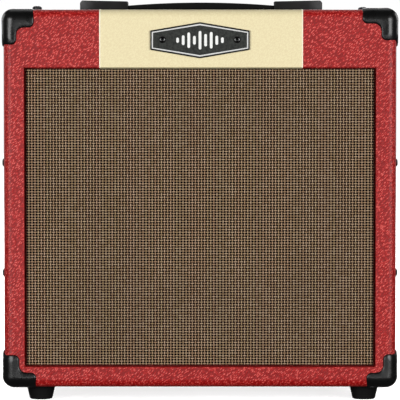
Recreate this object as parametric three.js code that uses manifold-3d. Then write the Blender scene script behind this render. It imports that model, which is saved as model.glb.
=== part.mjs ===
// A small guitar combo amplifier with one 8 inch speaker, as an assembly of separate pieces.
// Units are millimetres. +Z is up, the grille faces -Y, and the origin is the centre of the footprint,
// on the plane that the feet stand on.
import * as THREE from "three";
import { RoundedBoxGeometry } from "three/addons/geometries/RoundedBoxGeometry.js";
import { mergeVertices } from "three/addons/utils/BufferGeometryUtils.js";
import Module from "manifold-3d";

const wasm = await Module();
wasm.setup();

// ---------------------------------------------------------------- driving dimensions
const WIDTH = 380;
const DEPTH = 210;
const HEIGHT = 366;
const FOOT_HEIGHT = 14;
const WALL = 20; // board and covering together
const VINYL = 1; // thickness of the covering
const GAP = 0.3; // between pieces that touch
const EDGE_RADIUS = 8; // round-over on the cabinet's outer edges
const FASCIA_HEIGHT = 56; // upper front, above the grille
const CREAM_WIDTH = 198;
const GRILLE_RECESS = 5;
const SPEAKER_Z = 178;

// The cabinet's outer faces, and the faces that line its front and back openings.
const HALF_W = WIDTH / 2;
const FRONT = -DEPTH / 2;
const BACK = DEPTH / 2;
const BOTTOM = FOOT_HEIGHT;
const TOP = FOOT_HEIGHT + HEIGHT;
const INNER_HALF_W = HALF_W - WALL;
const INNER_BOTTOM = BOTTOM + WALL;
const INNER_TOP = TOP - WALL;
const GRILLE_TOP = TOP - FASCIA_HEIGHT;
const SKIN = VINYL + GAP; // from a covered face to the board under it
const FRONT_LIP = 15;
const BACK_LIP = 10;

// The recess in the top that holds the control panel.
const BAY = { halfWidth: 149, front: 28.3, back: 90.7, floor: TOP - 19 };
const CONTROL_Y = 58;
const PANEL_THICK = 1.2;
const CHASSIS_TOP = BAY.floor - PANEL_THICK - GAP;

// ---------------------------------------------------------------- materials
const material = (color, roughness, metalness = 0) =>
  new THREE.MeshStandardMaterial({ color, roughness, metalness });

const wood = material(0xb08f66, 0.85);
const redVinyl = material(0xac3230, 0.55);
const creamVinyl = material(0xf1e4b8, 0.6);
const grilleFabric = material(0x695440, 0.95);
const blackPlastic = material(0x101010, 0.35);
const blackRubber = material(0x0c0c0c, 0.8);
const blackBoard = material(0x1a1a1a, 0.7);
const steel = material(0x8d9094, 0.4, 0.9);
const blackSteel = material(0x18191a, 0.45, 0.6);
const ferrite = material(0x2c2c2e, 0.75);
const paper = material(0x2a2723, 0.9);
const panelFinish = material(0xe9ddb4, 0.5);
const knobPlastic = material(0x0e0e0e, 0.3);
const jewelRed = material(0xc01010, 0.1);
const circuitGreen = material(0x1c5a34, 0.5);
const copperTape = material(0xc9a227, 0.5);

// ---------------------------------------------------------------- solids
// A closed geometry as a manifold solid with its faces outwards.
function solid(geometry) {
  const bare = geometry.index ? geometry.toNonIndexed() : geometry.clone();
  bare.deleteAttribute("normal");
  bare.deleteAttribute("uv");
  const merged = mergeVertices(bare, 1e-4);
  const make = (triVerts) =>
    new wasm.Manifold(
      new wasm.Mesh({ numProp: 3, vertProperties: merged.attributes.position.array, triVerts }),
    );
  const triangles = new Uint32Array(merged.index.array);
  const made = make(triangles);
  if (made.volume() > 0) return made;
  for (let i = 0; i < triangles.length; i += 3) {
    [triangles[i + 1], triangles[i + 2]] = [triangles[i + 2], triangles[i + 1]];
  }
  return make(triangles);
}

// The mesh of a manifold solid as a three.js geometry.
function geometryOf(manifold) {
  const mesh = manifold.getMesh();
  const geometry = new THREE.BufferGeometry();
  geometry.setAttribute("position", new THREE.BufferAttribute(mesh.vertProperties, 3));
  geometry.setIndex(new THREE.BufferAttribute(mesh.triVerts, 1));
  geometry.computeVertexNormals();
  return geometry;
}

const join = (...pieces) => pieces.reduce((sum, piece) => sum.add(piece));
const cut = (body, ...tools) => tools.reduce((left, tool) => left.subtract(tool), body);

// A box between two corners, with optional rounding of all its edges.
function box([x0, y0, z0], [x1, y1, z1], radius = 0, segments = 2) {
  const [w, d, h] = [x1 - x0, y1 - y0, z1 - z0];
  const geometry = radius
    ? new RoundedBoxGeometry(w, d, h, segments, radius)
    : new THREE.BoxGeometry(w, d, h);
  return solid(geometry.translate((x0 + x1) / 2, (y0 + y1) / 2, (z0 + z1) / 2));
}

// A cylinder or cone along one axis, from one place on it to another.
function rod(axis, [x, y, z], from, to, r0, r1 = r0, sides = 16) {
  const geometry = new THREE.CylinderGeometry(r1, r0, to - from, sides);
  geometry.translate(0, (from + to) / 2, 0);
  if (axis === "z") geometry.rotateX(Math.PI / 2);
  if (axis === "x") geometry.rotateZ(-Math.PI / 2);
  return solid(geometry.translate(x, y, z));
}

// A closed [radius, y] profile turned about the speaker's axis.
function turned(profile, sides = 32) {
  const points = [...profile, profile[0]].map(([r, y]) => new THREE.Vector2(r, y));
  return solid(new THREE.LatheGeometry(points, sides).translate(0, 0, SPEAKER_Z));
}

// An outline of points in a plane, pushed through a thickness along the plane's normal.
const [X, Y, Z] = [[1, 0, 0], [0, 1, 0], [0, 0, 1]].map((axis) => new THREE.Vector3(...axis));
const PLANES = { xy: [X, Y, Z], xz: [X, Z, Y], yz: [Y, Z, X] }; // outline's two axes, then the normal
function plate(plane, outline, from, to) {
  const shape = new THREE.Shape(outline.map(([a, b]) => new THREE.Vector2(a, b)));
  const geometry = new THREE.ExtrudeGeometry(shape, { depth: to - from, bevelEnabled: false });
  geometry.translate(0, 0, from);
  return solid(geometry.applyMatrix4(new THREE.Matrix4().makeBasis(...PLANES[plane])));
}

// Points on an arc, in degrees, for outlines.
function arc(cx, cy, r, from, to, steps = 6) {
  return Array.from({ length: steps + 1 }, (_, i) => {
    const angle = THREE.MathUtils.degToRad(from + ((to - from) * i) / steps);
    return [cx + r * Math.cos(angle), cy + r * Math.sin(angle)];
  });
}

const amplifier = new THREE.Group();
function add(name, manifold, finish, position = [0, 0, 0]) {
  const mesh = new THREE.Mesh(geometryOf(manifold), finish);
  mesh.name = name;
  mesh.position.set(...position);
  amplifier.add(mesh);
  return mesh;
}

// ---------------------------------------------------------------- cabinet boards
function addBoards() {
  const outer = HALF_W - SKIN;
  const inner = INNER_HALF_W + SKIN;
  const [front, back] = [FRONT + SKIN, BACK - SKIN];
  const [low, high] = [BOTTOM + SKIN, TOP - SKIN];
  const body = box([-outer, front, low], [outer, back, high], EDGE_RADIUS - SKIN);
  const slice = (from, to) => body.intersect(box(from, to));
  for (const [name, side] of [["board_left", -1], ["board_right", 1]]) {
    const [a, b] = [side * inner, side * (outer + 1)].sort((p, q) => p - q);
    add(name, slice([a, front - 1, low - 1], [b, back + 1, high + 1]), wood);
  }
  const reach = inner - GAP;
  const bottom = slice([-reach, front - 1, low - 1], [reach, back + 1, INNER_BOTTOM - SKIN]);
  add("board_bottom", bottom, wood);
  const top = slice([-reach, front - 1, INNER_TOP + SKIN], [reach, back + 1, high + 1]);
  const bay = box(
    [-BAY.halfWidth - SKIN, BAY.front - SKIN, INNER_TOP],
    [BAY.halfWidth + SKIN, BAY.back + SKIN, TOP],
  );
  add("board_top", cut(top, bay), wood);
  add(
    "board_fascia",
    box([-reach, front, GRILLE_TOP + SKIN], [reach, FRONT + FRONT_LIP, INNER_TOP + SKIN - GAP]),
    wood,
  );
}

// ---------------------------------------------------------------- vinyl covering
// A strip of covering that lines an opening: the space between two boxes.
function lining([x, y0, z0], [, y1, z1]) {
  const outer = box([-x - VINYL, y0, z0 - VINYL], [x + VINYL, y1, z1 + VINYL]);
  return cut(outer, box([-x, y0 - 1, z0], [x, y1 + 1, z1]));
}

function addCovering() {
  const bite = VINYL / 2; // how far a lining runs into the skin that it joins
  const skin = cut(
    box([-HALF_W, FRONT, BOTTOM], [HALF_W, BACK, TOP], EDGE_RADIUS),
    box(
      [-HALF_W + VINYL, FRONT + VINYL, BOTTOM + VINYL],
      [HALF_W - VINYL, BACK - VINYL, TOP - VINYL],
      EDGE_RADIUS - VINYL,
    ),
    box([-INNER_HALF_W, FRONT - 1, INNER_BOTTOM], [INNER_HALF_W, FRONT + 5, GRILLE_TOP]),
    box([-INNER_HALF_W, BACK - 5, INNER_BOTTOM], [INNER_HALF_W, BACK + 1, INNER_TOP]),
    box([-BAY.halfWidth, BAY.front, TOP - 5], [BAY.halfWidth, BAY.back, TOP + 1]),
  );
  const bayLining = cut(
    box(
      [-BAY.halfWidth - VINYL, BAY.front - VINYL, BAY.floor + GAP],
      [BAY.halfWidth + VINYL, BAY.back + VINYL, TOP - bite],
    ),
    box([-BAY.halfWidth, BAY.front, BAY.floor], [BAY.halfWidth, BAY.back, TOP]),
  );
  const whole = join(
    skin,
    lining([INNER_HALF_W, FRONT + bite, INNER_BOTTOM], [0, FRONT + FRONT_LIP, GRILLE_TOP]),
    lining([INNER_HALF_W, BACK - BACK_LIP, INNER_BOTTOM], [0, BACK - bite, INNER_TOP]),
    bayLining,
  );
  const half = CREAM_WIDTH / 2;
  const end = BAY.front - VINYL - GAP;
  const under = GRILLE_TOP - 2 * VINYL;
  const band = (margin) =>
    box([-half - margin, FRONT - 1, under], [half + margin, end + margin, TOP + 1]);
  add("vinyl_red", cut(whole, band(GAP / 2)), redVinyl);
  add("vinyl_cream", whole.intersect(band(-GAP / 2)), creamVinyl);
}

// ---------------------------------------------------------------- corners and feet
function addCorners() {
  const stand = 2; // how far a corner stands off the cabinet
  const arm = 13.5;
  const [legX, legY, legZ] = [30, 34, 31];
  const outer = box(
    [-HALF_W - stand, FRONT - stand, BOTTOM - stand],
    [HALF_W + stand, BACK + stand, TOP + stand],
    EDGE_RADIUS + 4,
    3,
  );
  const inner = box(
    [-HALF_W - GAP, FRONT - GAP, BOTTOM - GAP],
    [HALF_W + GAP, BACK + GAP, TOP + GAP],
    EDGE_RADIUS + GAP,
  );
  for (const [z, height] of [[BOTTOM, "bottom"], [TOP, "top"]]) {
    for (const [y, place] of [[FRONT, "front"], [BACK, "rear"]]) {
      for (const [x, hand] of [[-HALF_W, "left"], [HALF_W, "right"]]) {
        const bar = (dx, dy, dz) => box([x - dx, y - dy, z - dz], [x + dx, y + dy, z + dz], 4, 1);
        const legs = join(bar(legX, arm, arm), bar(arm, legY, arm), bar(arm, arm, legZ));
        add(`corner_${place}_${height}_${hand}`, cut(outer.intersect(legs), inner), blackPlastic);
      }
    }
  }
}

function addFeet() {
  const [footX, footY] = [158, 75];
  const foot = rod("z", [0, 0, 0], 0, FOOT_HEIGHT - GAP, 10.4, 13.3, 20);
  for (const [y, place] of [[-footY, "front"], [footY, "rear"]]) {
    for (const [x, hand] of [[-footX, "left"], [footX, "right"]]) {
      add(`foot_${place}_${hand}`, foot, blackRubber, [x, y, 0]);
    }
  }
}

// ---------------------------------------------------------------- handle
const HANDLE = { y: -35, capInner: 72, capOuter: 119, strapHalfWidth: 12 };

function addHandle() {
  const base = TOP + GAP;
  const capHalfDepth = 16;
  const capOutline = [
    [HANDLE.capInner, base],
    [HANDLE.capOuter, base],
    [HANDLE.capOuter, base + 5.5],
    [HANDLE.capOuter - 3.5, base + 9.1],
    [HANDLE.capInner, base + 8.2],
  ];
  const cavity = box(
    [HANDLE.capInner - 1, HANDLE.y - 13, base - 1],
    [HANDLE.capOuter - 6, HANDLE.y + 13, base + 6.6],
  );
  const [low, high] = [base + 0.9, base + 5.3];
  const crown = 7.4; // height of the strap's top at mid span
  const split = 45; // the strap rises in one piece between -split and split
  const top = (x) => high + (base + crown - high) * (1 - (x / HANDLE.capInner) ** 2);
  const along = (from, to, steps) =>
    Array.from({ length: steps + 1 }, (_, i) => from + ((to - from) * i) / steps);
  const ribbon = (outline, half = HANDLE.strapHalfWidth) =>
    plate("xz", outline, HANDLE.y - half, HANDLE.y + half);
  const crest = along(split, -split, 6).map((x) => [x, top(x)]);
  add("handle_strap", ribbon([[-split, low], [split, low], ...crest]), blackRubber);
  const [near, far] = [split + GAP, HANDLE.capOuter - 8];
  const rise = along(HANDLE.capInner, near, 4).map((x) => [x, top(x)]);
  for (const [side, hand] of [[-1, "left"], [1, "right"]]) {
    const mirror = (outline) => outline.map(([x, z]) => [side * x, z]);
    const cap = ribbon(mirror(capOutline), capHalfDepth);
    const hollow = side > 0 ? cavity : cavity.mirror([1, 0, 0]);
    add(`handle_cap_${hand}`, cut(cap, hollow), blackPlastic);
    const end = ribbon(mirror([[near, low], [far, low], [far, high], ...rise]));
    add(`handle_strap_end_${hand}`, end, blackRubber);
  }
}

// ---------------------------------------------------------------- front: badge, grille, baffle
function addBadge() {
  const [half, tip, side, z] = [48, 17.4, 9.3, TOP - 29.5];
  const outline = [
    [-half, z - side],
    [0, z - tip],
    [half, z - side],
    [half, z + side],
    [0, z + tip],
    [-half, z + side],
  ];
  add("badge_plate", plate("xz", outline, FRONT - 1.9, FRONT - GAP), blackPlastic);
}

const CLOTH = { front: FRONT + GRILLE_RECESS, thick: 1.2 };
const BAFFLE = { front: CLOTH.front + 1.5, back: CLOTH.front + 13.5, hole: 92 };

function addFront() {
  const half = INNER_HALF_W - 1;
  const [low, high] = [INNER_BOTTOM + 1, GRILLE_TOP - 1];
  const cloth = box([-half, CLOTH.front, low], [half, CLOTH.front + CLOTH.thick, high]);
  add("grille_cloth", cloth, grilleFabric);
  const board = box([-half + 0.6, BAFFLE.front, low + 0.6], [half - 0.6, BAFFLE.back, high - 0.6]);
  const [from, to] = [BAFFLE.front - 1, BAFFLE.back + 1];
  const hole = rod("y", [0, 0, SPEAKER_Z], from, to, BAFFLE.hole, BAFFLE.hole, 32);
  add("baffle_board", cut(board, hole), blackBoard);
}

// ---------------------------------------------------------------- speaker
// Distances back from the speaker's mounting face, and radii about its axis.
const SPEAKER = {
  face: BAFFLE.back + GAP,
  rim: 103,
  seat: 94,
  conePlane: 2,
  coneEdge: 80,
  neck: 14,
  neckDepth: 38,
  spiderRadius: 52,
  plateDepth: 54,
  magnetRadius: 45,
};

function addSpeaker() {
  const s = SPEAKER;
  const y = (depth) => s.face + depth;

  const shell = [
    [s.rim, y(0)],
    [s.rim, y(1.6)],
    [93.5, y(1.6)],
    [93.5, y(10)],
    [60, y(36)],
    [60, y(40)],
    [46, y(40)],
    [41, y(51)],
    [41, y(s.plateDepth - GAP)],
    [16, y(s.plateDepth - GAP)],
    [16, y(s.plateDepth - 2)],
    [39.5, y(s.plateDepth - 2)],
    [39.5, y(50.5)],
    [44.6, y(38.4)],
    [58.4, y(38.4)],
    [58.4, y(35.2)],
    [91.9, y(9.2)],
    [91.9, y(0)],
  ];
  const windows = [0, 1, 2, 3].map((quarter) => {
    const spread = 33; // half the angle of a window, in degrees
    const outline = [
      ...arc(0, 0, 62.5, -spread, spread, 5),
      ...arc(0, 0, 89.5, spread, -spread, 5),
    ];
    const turn = THREE.MathUtils.degToRad(45 + 90 * quarter);
    const spun = outline.map(([a, b]) => [
      a * Math.cos(turn) - b * Math.sin(turn),
      a * Math.sin(turn) + b * Math.cos(turn) + SPEAKER_Z,
    ]);
    return plate("xz", spun, y(5), y(45));
  });
  const boltHoles = [0, 1, 2, 3].map((quarter) => {
    const angle = Math.PI / 4 + (quarter * Math.PI) / 2;
    const place = [98 * Math.cos(angle), 0, SPEAKER_Z + 98 * Math.sin(angle)];
    return rod("y", place, y(-1), y(3), 2.6, 2.6, 8);
  });
  add("speaker_basket", cut(turned(shell), ...windows, ...boltHoles), blackSteel);

  const ring = (name, inner, outer, from, to, finish) =>
    add(name, turned([[inner, y(from)], [outer, y(from)], [outer, y(to)], [inner, y(to)]]), finish);
  ring("speaker_top_plate", 15.2, 41, s.plateDepth, s.plateDepth + 6, steel);
  ring("speaker_magnet", 20, s.magnetRadius, s.plateDepth + 6.3, s.plateDepth + 21, ferrite);
  const back = s.plateDepth + 21.3;
  const yoke = [
    [0, y(s.plateDepth)],
    [11.6, y(s.plateDepth)],
    [11.6, y(back)],
    [40, y(back)],
    [41.5, y(back + 1.5)],
    [41.5, y(back + 6)],
    [0, y(back + 6)],
  ];
  add("speaker_yoke", turned(yoke), steel);

  const slope = (s.neckDepth - s.conePlane) / (s.coneEdge - s.neck);
  const flare = (r) => s.neckDepth - slope * (r - s.neck);
  const paperThick = 1.3;
  const cone = [
    [s.neck, y(flare(s.neck))],
    [s.neck, y(flare(s.neck) - paperThick)],
    [s.coneEdge, y(flare(s.coneEdge) - paperThick)],
    [s.coneEdge, y(flare(s.coneEdge))],
  ];
  add("speaker_cone", turned(cone), paper);
  const capRadius = 20;
  const capDepth = flare(capRadius) - paperThick - GAP;
  const dome = (r, rise, lift) => [r, y(capDepth - lift - rise * (1 - (r / capRadius) ** 2))];
  const capSteps = [0, 0.35, 0.7, 1].map((share) => share * capRadius);
  const dustCap = [
    ...capSteps.map((r) => dome(r, 7, 1.2)),
    ...capSteps.reverse().map((r) => dome(r, 7, 0)),
  ];
  add("speaker_dust_cap", turned(dustCap, 24), paper);
  const former = [[12.7, 37], [13.5, 37], [13.5, 48], [13.9, 48], [13.9, 63], [12.7, 63]];
  add("voice_coil", turned(former.map(([r, d]) => [r, y(d)]), 24), copperTape);

  // A thin sheet folded to and fro between its inner and outer edge.
  const folded = (inner, outer, from, to, folds, rise, thick) => {
    const line = Array.from({ length: folds + 1 }, (_, i) => {
      const share = i / folds;
      const edge = i === 0 || i === folds;
      const lift = edge ? 0 : rise * (-1) ** i;
      return [inner + (outer - inner) * share, from + (to - from) * share + lift];
    });
    return [
      ...line.map(([r, d]) => [r, y(d)]),
      ...line.reverse().map(([r, d]) => [r, y(d + thick)]),
    ];
  };
  add("cone_surround", turned(folded(s.coneEdge + GAP, 91.6, 0.9, 0.4, 4, 0.4, 0.6)), paper);
  add("cone_spider", turned(folded(14.2, s.spiderRadius, 39, 36.3, 6, 0.8, 0.6), 24), copperTape);
}

// ---------------------------------------------------------------- chassis and control panel
const CHASSIS = { halfWidth: 168, front: 14, back: 100, thick: 1.5, bottom: TOP - 76 };
const CONTROLS = {
  inputJack: -135,
  knobs: {
    knob_clean_volume: -108,
    knob_gain: -66,
    knob_drive_volume: -38,
    knob_bass: -10,
    knob_middle: 18,
    knob_treble: 46,
    knob_reverb: 74,
  },
  channelButton: -87,
  auxJack: 95,
  phonesJack: 111,
  lamp: 125,
  powerSwitch: 138.5,
};
const INLET = { x: -110, z: TOP - 50 };
const LEAD_EXIT = { x: 60, z: TOP - 68 };
const SHAFT_RADIUS = 3;

// The holes that the controls need, through both the chassis top and the panel above it.
function controlHoles() {
  const [low, high] = [CHASSIS_TOP - 10, BAY.floor + 1];
  const round = (x, r) => rod("z", [x, CONTROL_Y, 0], low, high, r, r, 12);
  const power = CONTROLS.powerSwitch;
  return [
    ...Object.values(CONTROLS.knobs).map((x) => round(x, SHAFT_RADIUS + 0.6)),
    round(CONTROLS.inputJack, 5.4),
    round(CONTROLS.phonesJack, 5.4),
    round(CONTROLS.auxJack, 3.6),
    round(CONTROLS.channelButton, 3.7),
    round(CONTROLS.lamp, 3.4),
    box([power - 6.3, CONTROL_Y - 9.8, low], [power + 6.3, CONTROL_Y + 9.8, high]),
  ];
}

function addChassis() {
  const { halfWidth, front, back, thick, bottom } = CHASSIS;
  const tray = cut(
    box([-halfWidth, front, bottom], [halfWidth, back, CHASSIS_TOP]),
    box(
      [-halfWidth + thick, front + thick, bottom - 1],
      [halfWidth - thick, back - thick, CHASSIS_TOP - thick],
    ),
  );
  // A window in the rear wall, by its middle and its half sizes.
  const window = (x, halfX, halfZ) =>
    box([x - halfX, back - 5, INLET.z - halfZ], [x + halfX, back + 1, INLET.z + halfZ]);
  const [slotPitch, firstSlot] = [9, 22];
  const slots = Array.from({ length: 12 }, (_, i) => window(firstSlot + i * slotPitch, 1.6, 14));
  const leadHole = rod("y", [LEAD_EXIT.x, 0, LEAD_EXIT.z], front - 1, front + 3, 4.5, 4.5, 12);
  const inletHole = window(INLET.x, 14, 17.5);
  add("chassis", cut(tray, inletHole, leadHole, ...slots, ...controlHoles()), blackSteel);
  const margin = 6; // how far the panel runs under the edge of its recess, at its ends
  const panel = box(
    [-BAY.halfWidth - margin, BAY.front - 4.3, BAY.floor - PANEL_THICK],
    [BAY.halfWidth + margin, BAY.back + 3.3, BAY.floor],
  );
  add("control_panel", cut(panel, ...controlHoles()), panelFinish);
}

// A pointer knob with a round skirt; its pointer faces away from the player at mid travel.
function addKnobs() {
  const skirt = rod("z", [0, 0, 0], 0, 3.2, 9.6, 9.2, 20);
  const pointer = [...arc(0, 0, 8.4, 145, 395, 10), [2, 12.4], [-2, 12.4]];
  const taper = rod("z", [0, 0, 0], 3, 14.5, 14.2, 12.2, 20);
  const grip = plate("xy", pointer, 3, 14.5).intersect(taper);
  const bore = rod("z", [0, 0, 0], -1, 11, SHAFT_RADIUS + GAP, SHAFT_RADIUS + GAP, 12);
  const knob = cut(join(skirt, grip), bore);
  for (const [name, x] of Object.entries(CONTROLS.knobs)) {
    add(name, knob, knobPlastic, [x, CONTROL_Y, BAY.floor + 0.5]);
  }
}

function addJacks() {
  // A threaded sleeve with its nut above the panel and its contact block below.
  const jack = (bore, sleeve, nut, block, depth) => {
    const top = BAY.floor + 3.2;
    const body = box([-block, -block, CHASSIS_TOP - 1.8 - depth], [block, block, CHASSIS_TOP - 1.8]);
    const neck = rod("z", [0, 0, 0], CHASSIS_TOP - 3, top, sleeve, sleeve, 16);
    const collar = rod("z", [0, 0, 0], BAY.floor + 0.2, BAY.floor + 2.4, nut, nut, 6);
    const hole = rod("z", [0, 0, 0], CHASSIS_TOP - depth + 2, top + 1, bore, bore, 12);
    return cut(join(body, neck, collar), hole);
  };
  const large = jack(3.4, 4.8, 7, 7.5, 28);
  add("input_jack", large, blackPlastic, [CONTROLS.inputJack, CONTROL_Y, 0]);
  add("phones_jack", large, blackPlastic, [CONTROLS.phonesJack, CONTROL_Y, 0]);
  const small = jack(1.8, 3, 4.6, 5, 14);
  add("aux_jack", small, blackPlastic, [CONTROLS.auxJack, CONTROL_Y, 0]);
}

function addSwitches() {
  const x = CONTROLS.powerSwitch;
  const [bodyLow, rim] = [CHASSIS_TOP - 17, BAY.floor + 1.8];
  const housing = cut(
    join(
      box([-5.9, -9.4, bodyLow], [5.9, 9.4, BAY.floor + 1]),
      box([-7, -11, BAY.floor + GAP], [7, 11, rim]),
    ),
    box([-4.6, -8.2, CHASSIS_TOP - 9], [4.6, 8.2, rim + 1]),
  );
  add("power_switch_body", housing, blackPlastic, [x, CONTROL_Y, 0]);
  // A shallow V across the pivot, tipped so that its front half stands proud: switched off.
  const tip = THREE.MathUtils.degToRad(10);
  const across = 6.9;
  const profile = [
    [-across, 1.4],
    [0, -0.4],
    [across, 1.4],
    [across - 1, -2.4],
    ...arc(0, -1, 4, -30, -150, 4),
    [-across + 1, -2.4],
  ].map(([a, b]) => [a * Math.cos(tip) + b * Math.sin(tip), b * Math.cos(tip) - a * Math.sin(tip)]);
  add("power_rocker", plate("yz", profile, -4.2, 4.2), blackPlastic, [x, CONTROL_Y, BAY.floor + 2.2]);

  const button = join(
    rod("z", [0, 0, 0], CHASSIS_TOP - 12, BAY.floor + 5, 3.1, 3.1, 16),
    rod("z", [0, 0, 0], CHASSIS_TOP - 12, CHASSIS_TOP - 6, 4.4, 4.4, 16),
  );
  add("channel_button", button, knobPlastic, [CONTROLS.channelButton, CONTROL_Y, 0]);
  const jewel = join(
    rod("z", [0, 0, 0], CHASSIS_TOP - 9, BAY.floor + 1, 2.9, 2.9, 12),
    rod("z", [0, 0, 0], BAY.floor + GAP, BAY.floor + 2, 4.6, 4.6, 16),
    rod("z", [0, 0, 0], BAY.floor + 2, BAY.floor + 4.8, 4, 2, 16),
  );
  add("power_lamp", jewel, jewelRed, [CONTROLS.lamp, CONTROL_Y, 0]);
}

// The board carries the seven potentiometers, whose shafts pass up through the panel.
function addCircuitBoard() {
  const [low, high] = [TOP - 45, TOP - 43.4];
  const [left, right, front, back] = [-123, 102, 30, 88];
  const inletRoom = box([INLET.x - 15, back - 14, low - 1], [INLET.x + 16, back + 2, high + 1]);
  const board = cut(box([left, front, low], [right, back, high]), inletRoom);
  const pots = Object.values(CONTROLS.knobs).flatMap((x) => [
    rod("z", [x, CONTROL_Y, 0], high - 0.5, CHASSIS_TOP - 2, 8, 8, 12),
    rod("z", [x, CONTROL_Y, 0], high, BAY.floor + 11, SHAFT_RADIUS, SHAFT_RADIUS, 12),
  ]);
  const channelSwitch = box(
    [CONTROLS.channelButton - 5, CONTROL_Y - 5, high - 0.5],
    [CONTROLS.channelButton + 5, CONTROL_Y + 5, CHASSIS_TOP - 16],
  );
  const [capacitorRadius, capacitorHeight] = [8, 22];
  const capacitors = [-30, -8, 14].map((x) =>
    rod("z", [x, back - 10, low], -capacitorHeight, 0.5, capacitorRadius, capacitorRadius, 12),
  );
  const heatSink = box([30, back - 20, low - 20], [75, back - 4, low + 0.5]);
  add("circuit_board", join(board, ...pots, channelSwitch, ...capacitors, heatSink), circuitGreen);
}

function addMainsInlet() {
  const { x, z } = INLET;
  const back = CHASSIS.back;
  const flange = box([x - 15.5, back + GAP, z - 20], [x + 15.5, back + 3.2, z + 20]);
  const body = box([x - 13.6, back - 24, z - 17], [x + 13.6, back + 1, z + 17]);
  const socket = box([x - 12, back - 15, z - 15], [x + 12, back + 5, z + 1.5]);
  const slot = box([x - 11, back - 22, z + 4.5], [x + 11, back + 5, z + 14]);
  const pins = [[-7, -9], [7, -9], [0, -5]].map(([dx, dz]) =>
    box([x + dx - 1, back - 16, z + dz - 2], [x + dx + 1, back - 1, z + dz + 2]),
  );
  add("mains_inlet", join(cut(join(flange, body), socket, slot), ...pins), blackPlastic);
  const drawer = join(
    box([x - 10.5, back - 21, z + 5], [x + 10.5, back + 3.2, z + 13.5]),
    box([x - 8, back + 3, z + 5], [x + 8, back + 4.4, z + 7]),
  );
  add("fuse_drawer", drawer, blackPlastic);
}

function addTransformer() {
  const [x, y, z] = [-105, 52, INNER_BOTTOM - SKIN + GAP];
  const core = cut(
    join(
      box([x - 29, y - 12, z + 2], [x + 29, y + 12, z + 48]),
      box([x - 40, y - 12, z], [x + 40, y + 12, z + 2.5]),
    ),
    box([x - 19, y - 13, z + 11], [x - 9.5, y + 13, z + 39]),
    box([x + 9.5, y - 13, z + 11], [x + 19, y + 13, z + 39]),
  );
  add("transformer_core", core, steel);
  const [w, d] = [18.6, 19];
  const winding = cut(
    box([x - w, y - d, z + 11.4], [x + w, y + d, z + 38.6], 2, 1),
    box([x - 9.8, y - 12.4, z + 8], [x + 9.8, y + 12.4, z + 42]),
  );
  add("transformer_winding", winding, copperTape);
}

// The two-core lead from the chassis to the speaker's terminals.
function addSpeakerLead() {
  // Each point of the route is [x, y, drop below the chassis hole].
  const route = [
    [60, CHASSIS.front - GAP, 0],
    [60, 8, 0.5],
    [61, 0, 5],
    [63, -10, 16],
    [64, -18, 30],
    [64, -24, 46],
    [63, -28, 60],
    [61, -30, 74],
    [58.5, -34, 86],
  ].map(([x, y, drop]) => new THREE.Vector3(x, y, LEAD_EXIT.z - drop));
  const extrudePath = new THREE.CatmullRomCurve3(route);
  const [radius, sides] = [2, 8];
  const ring = arc(0, 0, radius, 0, 360 - 360 / sides, sides - 1);
  const section = new THREE.Shape(ring.map(([a, b]) => new THREE.Vector2(a, b)));
  const options = { steps: 20, bevelEnabled: false, extrudePath };
  add("speaker_lead", solid(new THREE.ExtrudeGeometry(section, options)), blackRubber);
}

// ---------------------------------------------------------------- back panels
function addBackPanels() {
  const reach = INNER_HALF_W - 0.5;
  const [front, back] = [BACK - 15, BACK - 3];
  const panel = (low, height) => box([-reach, front, low], [reach, back, low + height]);
  add("back_panel_upper", panel(CHASSIS.bottom - 66, 65), blackBoard);
  add("back_panel_lower", panel(INNER_BOTTOM + 0.5, 121.5), blackBoard);
}

addBoards();
addCovering();
addCorners();
addFeet();
addHandle();
addBadge();
addFront();
addSpeaker();
addChassis();
addKnobs();
addJacks();
addSwitches();
addCircuitBoard();
addMainsInlet();
addTransformer();
addSpeakerLead();
addBackPanels();

export default amplifier;
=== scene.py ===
import math

import bmesh
import bpy
import numpy as np
from mathutils import Matrix, Vector


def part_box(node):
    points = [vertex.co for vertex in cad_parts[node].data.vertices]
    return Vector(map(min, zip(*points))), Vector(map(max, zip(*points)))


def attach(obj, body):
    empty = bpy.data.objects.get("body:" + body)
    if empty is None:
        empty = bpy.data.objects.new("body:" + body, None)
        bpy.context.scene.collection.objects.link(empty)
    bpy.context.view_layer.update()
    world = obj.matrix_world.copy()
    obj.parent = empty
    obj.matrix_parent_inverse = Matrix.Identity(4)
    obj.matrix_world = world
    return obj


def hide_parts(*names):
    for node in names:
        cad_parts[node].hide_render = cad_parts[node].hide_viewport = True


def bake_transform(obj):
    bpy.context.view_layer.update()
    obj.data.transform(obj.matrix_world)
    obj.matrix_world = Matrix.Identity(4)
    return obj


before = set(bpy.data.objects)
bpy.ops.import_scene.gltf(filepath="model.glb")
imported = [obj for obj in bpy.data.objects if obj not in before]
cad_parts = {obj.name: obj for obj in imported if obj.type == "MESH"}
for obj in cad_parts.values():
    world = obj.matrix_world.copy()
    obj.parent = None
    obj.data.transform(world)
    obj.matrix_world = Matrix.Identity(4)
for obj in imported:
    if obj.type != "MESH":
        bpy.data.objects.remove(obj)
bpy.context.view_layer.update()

# Shapes are worked out in millimetres, in the frame's axes, and become metres when a piece is made.
MM = 0.001
scene = bpy.context.scene


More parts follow.
